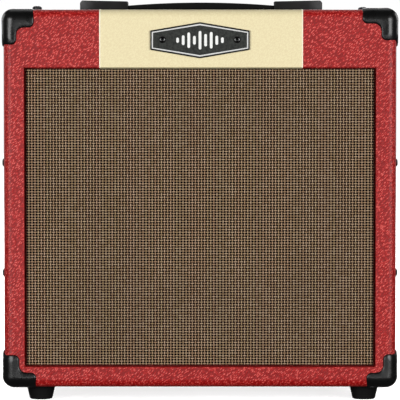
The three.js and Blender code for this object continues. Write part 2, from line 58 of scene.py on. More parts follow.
# ---------------------------------------------------------------- materials
class Look:
    """A procedural material. Its patterns sit in the object's own space, in metres."""

    def __init__(self, name, **sockets):
        self.material = bpy.data.materials.new(name)
        self.material.use_nodes = True
        self.nodes = self.material.node_tree.nodes
        self.links = self.material.node_tree.links
        self.shader = self.nodes["Principled BSDF"]
        self.place = self.nodes.new("ShaderNodeTexCoord").outputs["Object"]
        for socket, value in sockets.items():
            self.shader.inputs[socket.replace("_", " ")].default_value = value

    def feed(self, socket, value):
        if isinstance(value, bpy.types.NodeSocket):
            self.links.new(value, socket)
        else:
            socket.default_value = value

    def node(self, kind, output, inputs, **settings):
        made = self.nodes.new("ShaderNode" + kind)
        for key, value in settings.items():
            setattr(made, key, value)
        for key, value in inputs.items():
            self.feed(made.inputs[key], value)
        return made.outputs[output]

    def math(self, operation, *values):
        return self.node("Math", 0, dict(enumerate(values)), operation=operation)

    def scaled(self, factors, turn=(0, 0, 0)):
        """The place, turned and then divided by factors: larger factors stretch a pattern."""
        inputs = {"Vector": self.place, "Rotation": turn, "Scale": factors}
        return self.node("Mapping", "Vector", inputs, vector_type="TEXTURE")

    def noise(self, size_mm, detail=2.0, roughness=0.5, distortion=0.0, place=None):
        inputs = {"Vector": place or self.place, "Scale": 1000 / size_mm, "Detail": detail}
        inputs.update(Roughness=roughness, Distortion=distortion)
        return self.node("TexNoise", "Fac", inputs)

    def cells(self, size_mm, place, randomness):
        inputs = {"Vector": place, "Scale": 1000 / size_mm, "Randomness": randomness}
        return self.node("TexVoronoi", "Distance", inputs, feature="F1")

    def ramp(self, value, *stops):
        """Colours, or greys given as one number, at places from 0 to 1."""
        made = self.nodes.new("ShaderNodeValToRGB")
        elements = made.color_ramp.elements
        while len(elements) < len(stops):
            elements.new(0.5)
        for element, (position, colour) in zip(elements, stops):
            grey = isinstance(colour, (int, float))
            element.position = position
            element.color = (colour,) * 3 + (1,) if grey else (*colour, 1)
        self.links.new(value, made.inputs["Fac"])
        return made.outputs["Color"]

    def mix(self, factor, a, b):
        made = self.nodes.new("ShaderNodeMix")
        made.data_type = "RGBA"
        for socket, value in zip((made.inputs[0], made.inputs[6], made.inputs[7]), (factor, a, b)):
            colour = isinstance(value, tuple) and len(value) == 3
            self.feed(socket, (*value, 1) if colour else value)
        return made.outputs[2]

    def relief(self, height, depth_mm, strength):
        inputs = {"Height": height, "Distance": depth_mm * MM, "Strength": strength}
        return self.node("Bump", "Normal", inputs)

    def finish(self, colour, roughness=None, normal=None):
        for name, value in (("Base Color", colour), ("Roughness", roughness), ("Normal", normal)):
            if value is not None:
                self.feed(self.shader.inputs[name], value)
        return self.material


def vinyl(name, shadow, base, glint, grain_mm, depth_mm, roughness):
    """Embossed vinyl: long pebbles that lean to one side, with fine creases between them. The creases are
    darkened with painted shade, and the pebbles' crowns are lightened with a painted highlight.
    """
    look = Look(name, Specular_IOR_Level=0.34)
    slant = look.scaled((3.0, 1.0, 1.0), turn=(0, math.radians(-45), 0))
    pebble = look.cells(grain_mm, slant, 0.85)
    fine = look.noise(grain_mm * 0.5, 2, 0.6, place=slant)
    broad = look.noise(38, 2)
    height = look.math("SUBTRACT", look.math("MULTIPLY", fine, 0.45), pebble)
    raised = look.math("ADD", height, 0.5)
    # painted shade: the shadow colour darkens the creases between the pebbles
    body = look.mix(look.ramp(raised, (0.16, 0.0), (0.32, 1.0)), shadow, base)
    # painted highlight: the glint colour lightens the crowns of the pebbles
    colour = look.mix(look.ramp(raised, (0.38, 0.0), (0.54, 1.0)), body, glint)
    patchy = look.mix(look.ramp(broad, (0.35, 0.0), (0.65, 0.06)), colour, shadow)
    sheen = look.ramp(fine, (0.3, roughness - 0.07), (0.7, roughness + 0.09))
    return look.finish(patchy, sheen, look.relief(height, depth_mm, 0.9))


def moulded(name, colour, roughness, grain_mm, depth_mm, wear, **sockets):
    """Moulded plastic or rubber with a fine surface grain and handling marks."""
    look = Look(name, **sockets)
    grain = look.noise(grain_mm, 3, 0.6)
    marks = look.noise(14, 4, 0.65, 0.4)
    pale = tuple(min(1.0, c * 1.6 + 0.006 * wear) for c in colour)
    tint = look.mix(look.ramp(marks, (0.42, 0.0), (0.75, wear)), colour, pale)
    rough = look.ramp(marks, (0.3, roughness - 0.03), (0.75, roughness + 0.10))
    return look.finish(tint, rough, look.relief(grain, depth_mm, 0.6))


def metal(name, colour, roughness, brush=(1, 1, 1)):
    """Plated or brushed metal; brush stretches the scratches along an axis."""
    look = Look(name, Metallic=1.0)
    scratch = look.noise(0.5, 4, 0.7, place=look.scaled(brush))
    stain = look.noise(22, 3)
    dull = tuple(c * 0.72 for c in colour)
    tint = look.mix(look.ramp(stain, (0.4, 0.0), (0.8, 0.6)), colour, dull)
    rough = look.ramp(scratch, (0.3, roughness - 0.06), (0.7, roughness + 0.12))
    return look.finish(tint, rough, look.relief(scratch, 0.008, 0.7))


def plywood(name, face, dark, roughness):
    """Wood with long grain, figure and pores."""
    look = Look(name)
    long = look.scaled((9, 9, 1.4))
    figure = look.noise(16, 4, 0.6, 1.2, place=long)
    pores = look.noise(0.9, 2, 0.7, place=look.scaled((1, 1, 9)))
    tint = look.mix(look.ramp(figure, (0.35, 0.0), (0.68, 1.0)), face, dark)
    tint = look.mix(look.ramp(pores, (0.30, 0.65), (0.48, 0.0)), tint, tuple(c * 0.55 for c in dark))
    rough = look.ramp(pores, (0.3, roughness + 0.15), (0.6, roughness - 0.05))
    return look.finish(tint, rough, look.relief(pores, 0.08, 0.5))


def fibrous(name, colour, pale, size_mm, depth_mm, roughness):
    """Pressed pulp, felt or painted board: soft fibres in every direction."""
    look = Look(name)
    fibre = look.noise(size_mm, 5, 0.7, 0.8)
    flock = look.noise(size_mm * 9, 3)
    tint = look.mix(look.ramp(fibre, (0.38, 0.0), (0.72, 1.0)), colour, pale)
    tint = look.mix(look.ramp(flock, (0.4, 0.0), (0.8, 0.35)), tint, tuple(c * 0.5 for c in colour))
    rough = look.ramp(fibre, (0.3, roughness - 0.08), (0.7, min(1.0, roughness + 0.08)))
    return look.finish(tint, rough, look.relief(fibre, depth_mm, 0.7))


# each finish gives its painted crease shade, its base colour and its painted highlight
RED_SHADES = (0.24, 0.002, 0.002), (0.43, 0.008, 0.007), (0.72, 0.13, 0.11)
CREAM_SHADES = (0.73, 0.63, 0.38), (0.77, 0.68, 0.42), (0.79, 0.71, 0.45)
red_vinyl = vinyl("red_vinyl", *RED_SHADES, 1.15, 0.28, 0.42)
cream_vinyl = vinyl("cream_vinyl", *CREAM_SHADES, 0.9, 0.03, 0.50)
gloss_black = moulded("gloss_black", (0.003, 0.003, 0.003), 0.26, 1.1, 0.010, 0.2,
                      Specular_IOR_Level=0.38)
knob_black = moulded("knob_black", (0.005, 0.005, 0.005), 0.20, 0.8, 0.01, 0.25)
satin_black = moulded("satin_black", (0.005, 0.005, 0.005), 0.36, 0.6, 0.02, 0.3,
                      Specular_IOR_Level=0.28)
rubber = moulded("rubber", (0.004, 0.004, 0.004), 0.66, 0.45, 0.05, 0.3, Specular_IOR_Level=0.12)
powder_coat = moulded("powder_coat", (0.018, 0.018, 0.019), 0.50, 0.35, 0.05, 0.3)
black_paint = fibrous("black_paint", (0.016, 0.015, 0.014), (0.030, 0.028, 0.026), 0.7, 0.06, 0.72)
cone_paper = fibrous("cone_paper", (0.020, 0.019, 0.018), (0.045, 0.042, 0.038), 0.8, 0.10, 0.92)
spider_cloth = fibrous("spider_cloth", (0.38, 0.22, 0.07), (0.52, 0.33, 0.13), 0.6, 0.08, 0.85)
ferrite = fibrous("ferrite", (0.030, 0.030, 0.032), (0.060, 0.060, 0.062), 0.4, 0.03, 0.66)
zinc = metal("zinc", (0.62, 0.62, 0.60), 0.34)
nickel = metal("nickel", (0.68, 0.66, 0.62), 0.22)
aluminium = metal("aluminium", (0.72, 0.72, 0.73), 0.36, (18, 1, 1))
black_oxide = metal("black_oxide", (0.055, 0.055, 0.058), 0.38)
board_wood = plywood("board_wood", (0.50, 0.36, 0.21), (0.36, 0.23, 0.12), 0.70)
copper_tape = moulded("copper_tape", (0.62, 0.40, 0.05), 0.30, 2.5, 0.05, 0.4)
coil_paper = fibrous("coil_paper", (0.42, 0.22, 0.08), (0.55, 0.32, 0.14), 0.4, 0.04, 0.6)
panel_cream = moulded("panel_cream", (0.80, 0.70, 0.45), 0.38, 0.5, 0.015, 0.3)
print_black = moulded("print_black", (0.015, 0.014, 0.013), 0.55, 0.3, 0.01, 0.3)
print_white = moulded("print_white", (0.80, 0.80, 0.78), 0.45, 0.3, 0.01, 0.2)
print_silver = moulded("print_silver", (0.62, 0.62, 0.61), 0.35, 0.3, 0.01, 0.2)
wet_black = moulded("wet_black", (0.003, 0.003, 0.003), 0.10, 0.8, 0.004, 0.1)
lead_red = moulded("lead_red", (0.42, 0.012, 0.010), 0.40, 0.6, 0.02, 0.3)
board_green = moulded("board_green", (0.014, 0.10, 0.040), 0.34, 1.6, 0.03, 0.5)
sleeve_blue = moulded("sleeve_blue", (0.012, 0.020, 0.060), 0.35, 1.2, 0.02, 0.3)
# paler than the band's cream: the piping's own colour with a painted highlight on its raised edge
piping_painted_highlight = moulded("piping_painted_highlight", (0.93, 0.85, 0.64), 0.42, 0.6, 0.02, 0.2)
jewel_red = moulded("jewel_red", (0.50, 0.004, 0.004), 0.08, 1.5, 0.004, 0.1, Coat_Weight=0.6)


def speckled():
    """Black crackle paint of the badge's field, with fine pale specks."""
    look = Look("badge_field", Roughness=0.6, Specular_IOR_Level=0.25)
    specks = look.noise(1.8, 4, 0.75)
    tint = look.ramp(specks, (0.40, (0.008, 0.009, 0.008)), (0.62, (0.034, 0.037, 0.033)))
    return look.finish(tint, None, look.relief(specks, 0.06, 0.8))


badge_field = speckled()

# ---------------------------------------------------------------- shapes
# A shape is (points, faces), with the points in millimetres.


def merge(*shapes):
    points, faces, start = [], [], 0
    for some, theirs in shapes:
        points.append(np.asarray(some, float))
        faces += [[i + start for i in face] for face in theirs]
        start += len(some)
    return np.vstack(points), faces


def shift(shape, x=0.0, y=0.0, z=0.0):
    return np.asarray(shape[0], float) + (x, y, z), shape[1]


def transform(shape, matrix):
    return np.asarray(shape[0], float) @ np.array(matrix.to_3x3()).T, shape[1]


def mirror(shape, *axes):
    """The shape seen in mirrors across x, y or z, with its faces kept outwards."""
    signs = np.array([-1.0 if axis in axes else 1.0 for axis in "xyz"])
    faces = [face[::-1] for face in shape[1]] if len(axes) % 2 else shape[1]
    return np.asarray(shape[0], float) * signs, faces


def aim(shape, direction, x, y, z):
    """Turns a shape made about +Z so that it points another way, and moves it to a place."""
    turn = Vector((0, 0, 1)).rotation_difference(Vector(direction)).to_matrix()
    return shift(transform(shape, turn), x, y, z)


def lathe(profile, sides=48, closed=False):
    """A profile of (radius, height) turned about Z. Going up its outside keeps the faces outwards."""
    angles = np.linspace(0, 2 * math.pi, sides, endpoint=False)
    points, rows = [], []
    for radius, height in profile:
        if radius < 1e-6:
            rows.append([len(points)] * sides)
            points.append((0, 0, height))
            continue
        rows.append(list(range(len(points), len(points) + sides)))
        points += [(radius * math.cos(a), radius * math.sin(a), height) for a in angles]
    faces = []
    for low, high in zip(rows, rows[1:] + (rows[:1] if closed else [])):
        for i in range(sides):
            j = (i + 1) % sides
            face = list(dict.fromkeys((low[i], low[j], high[j], high[i])))
            if len(face) > 2:
                faces.append(face)
    return np.array(points, float), faces


def about_speaker(profile, sides=96):
    """A closed profile of (radius, y) turned about the speaker's axis."""
    points, faces = lathe([(r, y) for r, y in profile], sides, closed=True)
    return np.column_stack([points[:, 0], points[:, 2], points[:, 1] + SPEAKER_Z]), faces


def loft(rows, closed=True):
    """A skin over rows of points; a closed one joins each row's ends and has its own ends filled."""
    count = len(rows[0])
    last = (len(rows) - 1) * count
    faces = []
    for start in range(0, last, count):
        for k in range(count if closed else count - 1):
            a, b = start + k, start + (k + 1) % count
            faces.append([a, b, b + count, a + count])
    if closed:
        faces += [list(range(count))[::-1], list(range(last, last + count))]
    return np.array([tuple(point) for row in rows for point in row], float), faces


def prism(outline, low, high, normal="z"):
    """A flat outline pushed through a thickness along the named axis."""
    places = {
        "z": lambda a, b, c: (a, b, c),
        "y": lambda a, b, c: (a, c, b),
        "x": lambda a, b, c: (c, a, b),
    }[normal]
    return loft([[places(a, b, c) for a, b in outline] for c in (low, high)])


def six_sided(radius):
    return [(radius * math.cos(t), radius * math.sin(t)) for t in np.arange(6) * math.pi / 3]


def block(low, high):
    (x0, y0, z0), (x1, y1, z1) = low, high
    return prism([(x0, y0), (x1, y0), (x1, y1), (x0, y1)], z0, z1)


def arc(cx, cy, radius, start, end, steps=8):
    turns = [math.radians(start + (end - start) * i / steps) for i in range(steps + 1)]
    return [(cx + radius * math.cos(t), cy + radius * math.sin(t)) for t in turns]


def tube(path, radius, sides):
    """A round tube along a path of points, with closed ends."""
    path = [Vector(p) for p in path]
    rings, side = [], None
    for i, point in enumerate(path):
        along = (path[min(i + 1, len(path) - 1)] - path[max(i - 1, 0)]).normalized()
        side = along.orthogonal() if side is None else side - along * side.dot(along)
        side.normalize()
        other = along.cross(side)
        turns = [2 * math.pi * k / sides for k in range(sides)]
        rings.append([point + (side * math.cos(t) + other * math.sin(t)) * radius for t in turns])
    return loft(rings)


def smooth_path(points, steps):
    """Points on a Catmull-Rom curve through the given ones."""
    points = [Vector(p) for p in points]
    ends = [points[0] * 2 - points[1], *points, points[-1] * 2 - points[-2]]
    found = []
    for a, b, c, d in zip(ends, ends[1:], ends[2:], ends[3:]):
        for i in range(steps):
            t = i / steps
            found.append(
                (2 * b + (c - a) * t + (2 * a - 5 * b + 4 * c - d) * t**2
                 + (3 * b - a - 3 * c + d) * t**3) / 2
            )
    return found + [points[-1]]


# ---------------------------------------------------------------- pieces
def settle(obj):
    """Leaves an object's modifiers in its mesh."""
    bpy.context.view_layer.update()
    whole = obj.evaluated_get(bpy.context.evaluated_depsgraph_get())
    mesh = bpy.data.meshes.new_from_object(whole)
    obj.modifiers.clear()
    old, obj.data = obj.data, mesh
    bpy.data.meshes.remove(old)


def bare_object(name, shape):
    points, faces = shape
    mesh = bpy.data.meshes.new(name)
    mesh.from_pydata((np.asarray(points, float) * MM).tolist(), [], faces)
    work = bmesh.new()
    work.from_mesh(mesh)
    bmesh.ops.remove_doubles(work, verts=work.verts, dist=1e-6)
    if all(edge.is_manifold for edge in work.edges):
        bmesh.ops.recalc_face_normals(work, faces=work.faces)
    work.to_mesh(mesh)
    work.free()
    obj = bpy.data.objects.new(name, mesh)
    scene.collection.objects.link(obj)
    return obj


def carve(obj, *cutters):
    for i, shape in enumerate(cutters):
        tool = bare_object(f"cutter_{i}", shape)
        tool.hide_render = True
        cut = obj.modifiers.new("cut", "BOOLEAN")
        cut.operation, cut.object, cut.solver = "DIFFERENCE", tool, "EXACT"
        settle(obj)
        bpy.data.objects.remove(tool)


def piece(name, shape, finish, body="cabinet", stands_for=(), bevel=0.0, segments=3, sharp=38,
          cutters=()):
    """Makes a piece of the object that rides on a body, with optional cuts and softened edges."""
    obj = bare_object(name, shape)
    carve(obj, *cutters)
    if bevel:
        soft = obj.modifiers.new("soft", "BEVEL")
        soft.width, soft.segments = bevel * MM, segments
        soft.limit_method, soft.angle_limit = "ANGLE", math.radians(30)
        settle(obj)
    for polygon in obj.data.polygons:
        polygon.use_smooth = True
    obj.data.set_sharp_from_angle(angle=math.radians(sharp))
    even = obj.modifiers.new("even", "WEIGHTED_NORMAL")
    even.keep_sharp = True
    settle(obj)
    obj.data.materials.clear()
    obj.data.materials.append(finish)
    if body:
        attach(obj, body)
    if stands_for:
        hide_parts(*stands_for)
    return obj


def box_of(*nodes):
    """The box round some CAD nodes, in millimetres."""
    corners = [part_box(node) for node in nodes]
    low = np.min([np.array(c[0]) for c in corners], 0) / MM
    high = np.max([np.array(c[1]) for c in corners], 0) / MM
    return low, high


def middle_of(node):
    low, high = box_of(node)
    return (low + high) / 2


# ---------------------------------------------------------------- driving places, read from the CAD
(_, FRONT, BOTTOM), (HALF_W, BACK, TOP) = box_of("vinyl_red")
WALL = 20.0  # from the cabinet's outer faces to the faces of its openings
FASCIA = 56.0  # height of the upper front, above the grille
CREAM = (-96.9, 99.0)  # the cream band's left and right edges; it sits a little to the right
EDGE = 8.0  # round-over of the cabinet's front and back edges
LONG_EDGE = 10.0  # round-over of its four edges from front to back
SPEAKER_Z = middle_of("speaker_basket")[2]
BAY_X, BAY_FRONT, BAY_BACK = 149.0, 28.3, 90.7  # the recess in the top
RIM = 1.5  # round-over of the recess's edge
PANEL_Z = box_of("control_panel")[1][2]
CONTROL_Y = 58.0
STAND = 2.0  # how far a corner protector stands off the cabinet


# ---------------------------------------------------------------- vinyl covering
def cabinet_section():
    """Points of (inset, y) from the front opening's lining, round the outside, to the back's lining.

    Also how many of them lie before the front's flat face, and before the flat sides.
    """
    lip = 1.0
    section = [(WALL + 1.2, FRONT + 15), (WALL, FRONT + 15)]
    section += [(WALL - lip + a, FRONT + lip - b) for a, b in arc(0, 0, lip, 0, 90, 4)]
    opening = len(section)
    section += [(EDGE - b, FRONT + EDGE - a) for b, a in arc(0, 0, EDGE, 90, 0, 10)]
    flat = len(section)
    section += [(0, BAY_FRONT - RIM), (0, BAY_BACK + RIM)]
    section += [(EDGE - a, BACK - EDGE + b) for a, b in arc(0, 0, EDGE, 0, 90, 10)]
    section += [(WALL - lip + b, BACK - lip + a) for b, a in arc(0, 0, lip, 90, 0, 4)]
    section += [(WALL, BACK - 10), (WALL + 1.2, BACK - 10)]
    return section, opening, flat


def cabinet_ring(inset, top_inset, splits):
    """One loop round the cabinet, seen from the front, from its lower left; and where its top starts."""
    right, low, high = HALF_W - inset, BOTTOM + inset, TOP - top_inset
    turn = max(LONG_EDGE - inset, 0.0)
    ring = [(x, low) for x in splits]
    ring += arc(right - turn, low + turn, turn, -90, 0, 8)
    ring += arc(right - turn, high - turn, turn, 0, 90, 8)
    top_start = len(ring) - 1
    ring += [(x, high) for x in reversed(splits)]
    ring += arc(-right + turn, high - turn, turn, 90, 180, 8)
    ring += arc(-right + turn, low + turn, turn, 180, 270, 8)
    return ring, top_start


def covering():
    """Points of the covering, and the faces of its red and cream parts."""
    splits = [-BAY_X - RIM, *CREAM, BAY_X + RIM]
    section, opening, flat = cabinet_section()
    points = []
    for k, (inset, y) in enumerate(section):
        extra = FASCIA - WALL if k < opening else 0.0
        ring, top_start = cabinet_ring(inset, inset + extra, splits)
        points += [(x, y, z) for x, z in ring]
    size = len(ring)
    red, cream = [], []
    for k in range(len(section) - 1):
        for j in range(size):
            after = (j + 1) % size
            face = [k * size + j, k * size + after, (k + 1) * size + after, (k + 1) * size + j]
            column = j - top_start  # along the top, 1 to 3 lie between the splits and 2 is the cream band
            if k == flat and 1 <= column <= 3:
                continue
            (cream if column == 2 and k < flat else red).append(face)
    # the lining of the recess in the top
    steps = [(RIM - RIM * math.sin(t), RIM * math.cos(t) - RIM) for t in np.linspace(0, math.pi / 2, 5)]
    steps.append((0, PANEL_Z + 0.3 - TOP))
    start = len(points)
    for offset, drop in steps:
        x, y0, y1, z = BAY_X + offset, BAY_FRONT - offset, BAY_BACK + offset, TOP + drop
        edge = [-x, *CREAM, x]
        points += [(a, y0, z) for a in edge] + [(a, y1, z) for a in reversed(edge)]
    for k in range(len(steps) - 1):
        for j in range(8):
            a, b = start + k * 8 + j, start + k * 8 + (j + 1) % 8
            red.append([a, a + 8, b + 8, b])
    return np.array(points, float), red, cream


def used(points, faces):
    """The shape of some of the faces, with only the points that they use."""
    kept = sorted({i for face in faces for i in face})
    place = {old: new for new, old in enumerate(kept)}
    return points[kept], [[place[i] for i in face] for face in faces]


points, red_faces, cream_faces = covering()
piece("covering_red", used(points, red_faces), red_vinyl, stands_for=["vinyl_red"])
piece("covering_cream", used(points, cream_faces), cream_vinyl,
      stands_for=["vinyl_cream"])


def band_edges():
    """A fine raised line along each side of the cream band, from under the fascia over the top. Its paler
    cream is partly a painted highlight along the raised edge.
    """
    section, opening, flat = cabinet_section()
    line = []
    for k, (inset, y) in enumerate(section[:flat + 1]):
        if k:
            line.append((y, TOP - inset - (FASCIA - WALL if k < opening else 0.0)))
    shapes = []
    for side, edge in zip((-1, 1), CREAM):
        rows = []
        for i, (y, z) in enumerate(line):
            (ay, az), (by, bz) = line[max(i - 1, 0)], line[min(i + 1, len(line) - 1)]
            length = math.hypot(by - ay, bz - az)
            out = (-(bz - az) / length, (by - ay) / length)
            rows.append([
                (edge + side * (0.45 - across), y + out[0] * lift, z + out[1] * lift)
                for across, lift in [(0.0, -0.3), (0.1, 0.22), (0.65, 0.42), (1.2, 0.22), (1.35, -0.3)]
            ])
        points, faces = loft(rows, closed=False)
        shapes.append((points, [face[::side] for face in faces]))
    return merge(*shapes)


piece("band_edges", band_edges(), piping_painted_highlight, sharp=60)


# ---------------------------------------------------------------- corner protectors
HANDS = {-1: "left", 1: "right"}


def bar_distance(u, v, length, width, end_radius):
    """How far a point lies outside a bar that starts beyond the corner; below 0 is inside."""
    a, b = u - (length - end_radius), v - (width - end_radius)
    outside = np.hypot(np.maximum(a, 0), np.maximum(b, 0))
    return outside + np.minimum(np.maximum(a, b), 0) - end_radius


def ell_distance(u, v, leg_u, leg_v, arm_u, arm_v):
    """The same for an L of two bars, with a fillet where they meet."""
    fillet, end_radius = 9.0, 5.2
    one = bar_distance(u, v, leg_u, arm_v, end_radius)
    two = bar_distance(v, u, leg_v, arm_u, end_radius)
    share = np.clip(0.5 + 0.5 * (two - one) / fillet, 0, 1)
    return two * (1 - share) + one * share - fillet * share * (1 - share) * 0.9


def corner_shape(leg_x, leg_z, arm_x, arm_z, stand_z):
    """A protector at a corner at the origin, with the cabinet on the side of +x, +y and +z.

    Its legs run along the cabinet's edges, and their widths are the arms. On the cabinet's side the
    upright leg is longer than on its front.
    """
    arms = (arm_x, 13.0, arm_z)
    leg_y, side_leg_z = 34.0, 36.0
    step, reach = 0.6, 38.4  # of the grid that the protector is made on
    rounding, swell = 1.0, 0.9  # of its edges, and how much its middle rises
    line = np.arange(0, reach + step / 2, step)
    count = len(line)
    shapes = []
    for normal in range(3):
        u, v = [axis for axis in range(3) if axis != normal]
        cube = np.zeros((count, count, 3))
        cube[..., u], cube[..., v] = np.meshgrid(line, line, indexing="ij")
        centre = np.maximum(cube, LONG_EDGE)
        outward = cube - centre
        outward /= np.linalg.norm(outward, axis=2, keepdims=True)
        ground = centre + LONG_EDGE * outward
        upright = leg_z + (side_leg_z - leg_z) * outward[..., 0] ** 12
        legs = (leg_x, leg_y, upright)
        distance = ell_distance(ground[..., u], ground[..., v], legs[u], legs[v], arms[u], arms[v])
        inside = np.clip(-distance / rounding, 0, 1)
        crown = swell * (1 - (1 - np.clip(-distance / 8.0, 0, 1)) ** 2)
        height = (STAND - swell) * np.sqrt(1 - (1 - inside) ** 2) + crown
        height = np.where(distance > 0, -distance * 1.6, height)
        surface = ground + outward * height[..., None] * (1, 1, stand_z / STAND)
        keep = distance < 1.0
        index = np.arange(count * count).reshape(count, count)
        faces = []
        for i in range(count - 1):
            for j in range(count - 1):
                if keep[i:i + 2, j:j + 2].all():
                    faces.append([index[i, j], index[i + 1, j], index[i + 1, j + 1], index[i, j + 1]])
        if normal != 1:
            faces = [face[::-1] for face in faces]
        shapes.append(used(surface.reshape(-1, 3), faces))
    return merge(*shapes)


def placed_at_corner(shape, side, place, height):
    """Moves a shape made for the corner at the origin to one of the cabinet's corners."""
    axes = [axis for axis, flip in zip("xyz", (side > 0, place > 0, height > 0)) if flip]
    x, y, z = side * HALF_W, BACK if place > 0 else FRONT, TOP if height > 0 else BOTTOM
    return shift(mirror(shape, *axes), x, y, z)


def screw_head(radius, rise):
    """A domed head with a cross recess, on the plane z = 0 and pointing up."""
    side = 0.35 * rise
    dome = [(radius * math.cos(t), side + (rise - side) * math.sin(t))
            for t in np.linspace(0.12, math.pi / 2, 7)]
    profile = [(0, -0.4), (radius * 0.98, -0.4), (radius, side * 0.7), *dome[:-1], (0, rise)]
    obj = bare_object("head", lathe(profile, 28))
    half, width = radius * 0.56, radius * 0.13
    cross = [
        block((-half, -width, rise * 0.45), (half, width, rise + 1)),
        block((-width, -half, rise * 0.45), (width, half, rise + 1)),
    ]
    carve(obj, *cross)
    points = np.array([vertex.co for vertex in obj.data.vertices]) / MM
    faces = [list(polygon.vertices) for polygon in obj.data.polygons]
    bpy.data.objects.remove(obj)
    return points, faces


PAN_HEAD = screw_head(4.9, 3.3)
FLUSH_HEAD = screw_head(3.6, 0.5)
SIDE_HEAD = screw_head(3.5, 1.5)
SMALL_HEAD = screw_head(2.5, 1.5)


def corner_name(side, place, height):
    words = ("rear" if place > 0 else "front", "top" if height > 0 else "bottom", HANDS[side])
    return "_".join(("corner", *words))


# The protectors are moulded alike, but each sits a little differently: leg along X, leg along Z, width
# of the upright leg, width of the level leg, and how far it stands off the cabinet's end.
FITTED = {
    (-1, -1, 1): (29.7, 33.9, 12.7, 17.4, 1.0),
    (1, -1, 1): (33.4, 29.6, 15.0, 13.5, 2.0),
    (-1, -1, -1): (31.2, 31.6, 14.7, 14.4, 1.0),
    (1, -1, -1): (28.6, 32.5, 12.4, 14.4, 1.0),
    (-1, 1, 1): (31.2, 32.0, 14.0, 14.0, 2.0),
    (1, 1, 1): (31.2, 32.0, 14.0, 14.0, 1.0),
    (-1, 1, -1): (31.2, 32.0, 14.0, 14.0, 1.0),
    (1, 1, -1): (31.2, 32.0, 14.0, 14.0, 1.0),
}
corner_screws = []
for (side, place, height), fit in FITTED.items():
    stand_z = fit[-1]
    head, sink = (PAN_HEAD, 0.15) if place > 0 else (FLUSH_HEAD, 0.8)
    on_end = aim(head, (0, 0, -1), 22.6, 8.5, -stand_z + sink)
    on_side = aim(head, (-1, 0, 0), -STAND + sink, 8.5, 26.0)
    name = corner_name(side, place, height)
    shape = placed_at_corner(corner_shape(*fit), side, place, height)
    piece(f"{name}_cover", shape, gloss_black, stands_for=[name], sharp=70)
    corner_screws.append(placed_at_corner(on_end, side, place, height))
    corner_screws.append(placed_at_corner(on_side, side, place, height))
piece("corner_screws", merge(*corner_screws), black_oxide, sharp=30)

# The screws that hold the baffle board, through the cabinet's sides.
SIDE_SCREW_Y = middle_of("baffle_board")[1]
SIDE_SCREWS_Z = (125.0, 232.0)
side_screws, side_washers = [], []
washer = lathe([(2, 0), (4.1, 0), (4.1, 0.3), (3.7, 0.6), (2, 0.6)], 32, closed=True)
for side in (-1, 1):
    for z in SIDE_SCREWS_Z:
        side_screws.append(aim(SIDE_HEAD, (side, 0, 0), side * (HALF_W + 0.4), SIDE_SCREW_Y, z))
        side_washers.append(aim(washer, (side, 0, 0), side * (HALF_W - 0.05), SIDE_SCREW_Y, z))
piece("side_screws", merge(*side_screws), black_oxide, sharp=30)
piece("side_washers", merge(*side_washers), black_oxide, sharp=30)


# ---------------------------------------------------------------- feet
def foot_shape():
    top = box_of("foot_front_left")[1][2]
    profile = [
        (0, 7.5), (4.6, 7.5), (5.0, 7.1), (5.0, 0.8), (5.8, 0.0), (10.1, 0.0), (10.8, 0.3), (11.15, 1.0),
        (14.0, top - 0.8), (14.1, top - 0.3), (14.0, top), (0, top),
    ]
    return lathe(profile, 64)


FEET_X = 2.4  # all four feet sit a little to the right
foot_screws = []
for name in ("front_left", "front_right", "rear_left", "rear_right"):
    x, y = middle_of(f"foot_{name}")[:2] + (FEET_X, 0)
    piece(f"foot_{name}_rubber", shift(foot_shape(), x, y), rubber,
          stands_for=[f"foot_{name}"], sharp=50)
    foot_screws.append(aim(screw_head(3.8, 1.8), (0, 0, -1), x, y, 7.3))
piece("foot_screws", merge(*foot_screws), zinc, sharp=30)

# ---------------------------------------------------------------- handle
(cap_x0, cap_y0, cap_z0), (cap_x1, cap_y1, cap_z1) = box_of("handle_cap_right")
HANDLE_X = 1.1  # the handle sits a little to the right
HANDLE_Y = (cap_y0 + cap_y1) / 2
strap_high = box_of("handle_strap")[1]
cap_outline = [(cap_x0, cap_z0), (cap_x1, cap_z0), (cap_x1, cap_z0 + 6.9), (cap_x1 - 2.0, cap_z1),
               (cap_x0, cap_z1 - 1.0)]
mouth = block((cap_x0 - 3, HANDLE_Y - 13, cap_z0 - 1), (cap_x1 - 6, HANDLE_Y + 13, cap_z0 + 6.6))
cap_shape = prism(cap_outline, cap_y0, cap_y1, "y")
shoulders = [
    prism([(cap_x1 - 14, y), (cap_x1 + 1, y - out * 2), (cap_x1 + 1, y + out * 4)][::-out], TOP, TOP + 12)
    for y, out in ((cap_y0, 1), (cap_y1, -1))
]
for side, hand in HANDS.items():
    flip = [] if side > 0 else ["x"]
    cutters = [shift(mirror(cutter, *flip), HANDLE_X) for cutter in (mouth, *shoulders)]
    piece(f"handle_end_{hand}", shift(mirror(cap_shape, *flip), HANDLE_X), satin_black,
          stands_for=[f"handle_cap_{hand}"], bevel=0.6, segments=3, cutters=cutters)


def strap_shape(x_from, x_to, steps):
    """The moulded strap between two places: crowned, with rolled edges and two grooves along its top."""
    base, half = TOP + 0.3, strap_high[1] - HANDLE_Y
    crown, at_cap = strap_high[2] - 0.4, cap_z0 + 4.0
    rows = []
    for x in np.linspace(x_from, x_to, steps + 1):
        share = min(abs(x) / cap_x0, 1.0)
        top = at_cap + (crown - at_cap) * (1 - share**2)
        profile = [
            (-half + 1.0, base), (-half, base + 1.0), (-half, top - 1.4), (-half + 0.5, top - 0.5),
            (-half + 1.5, top - 0.1), (-8.2, top), (-7.6, top - 0.5), (-6.8, top - 0.5), (-6.2, top),
        ]
        profile += [(-y, z) for y, z in reversed(profile)]
        rows.append([(x + HANDLE_X, HANDLE_Y + y, z) for y, z in profile])
    return loft(rows)


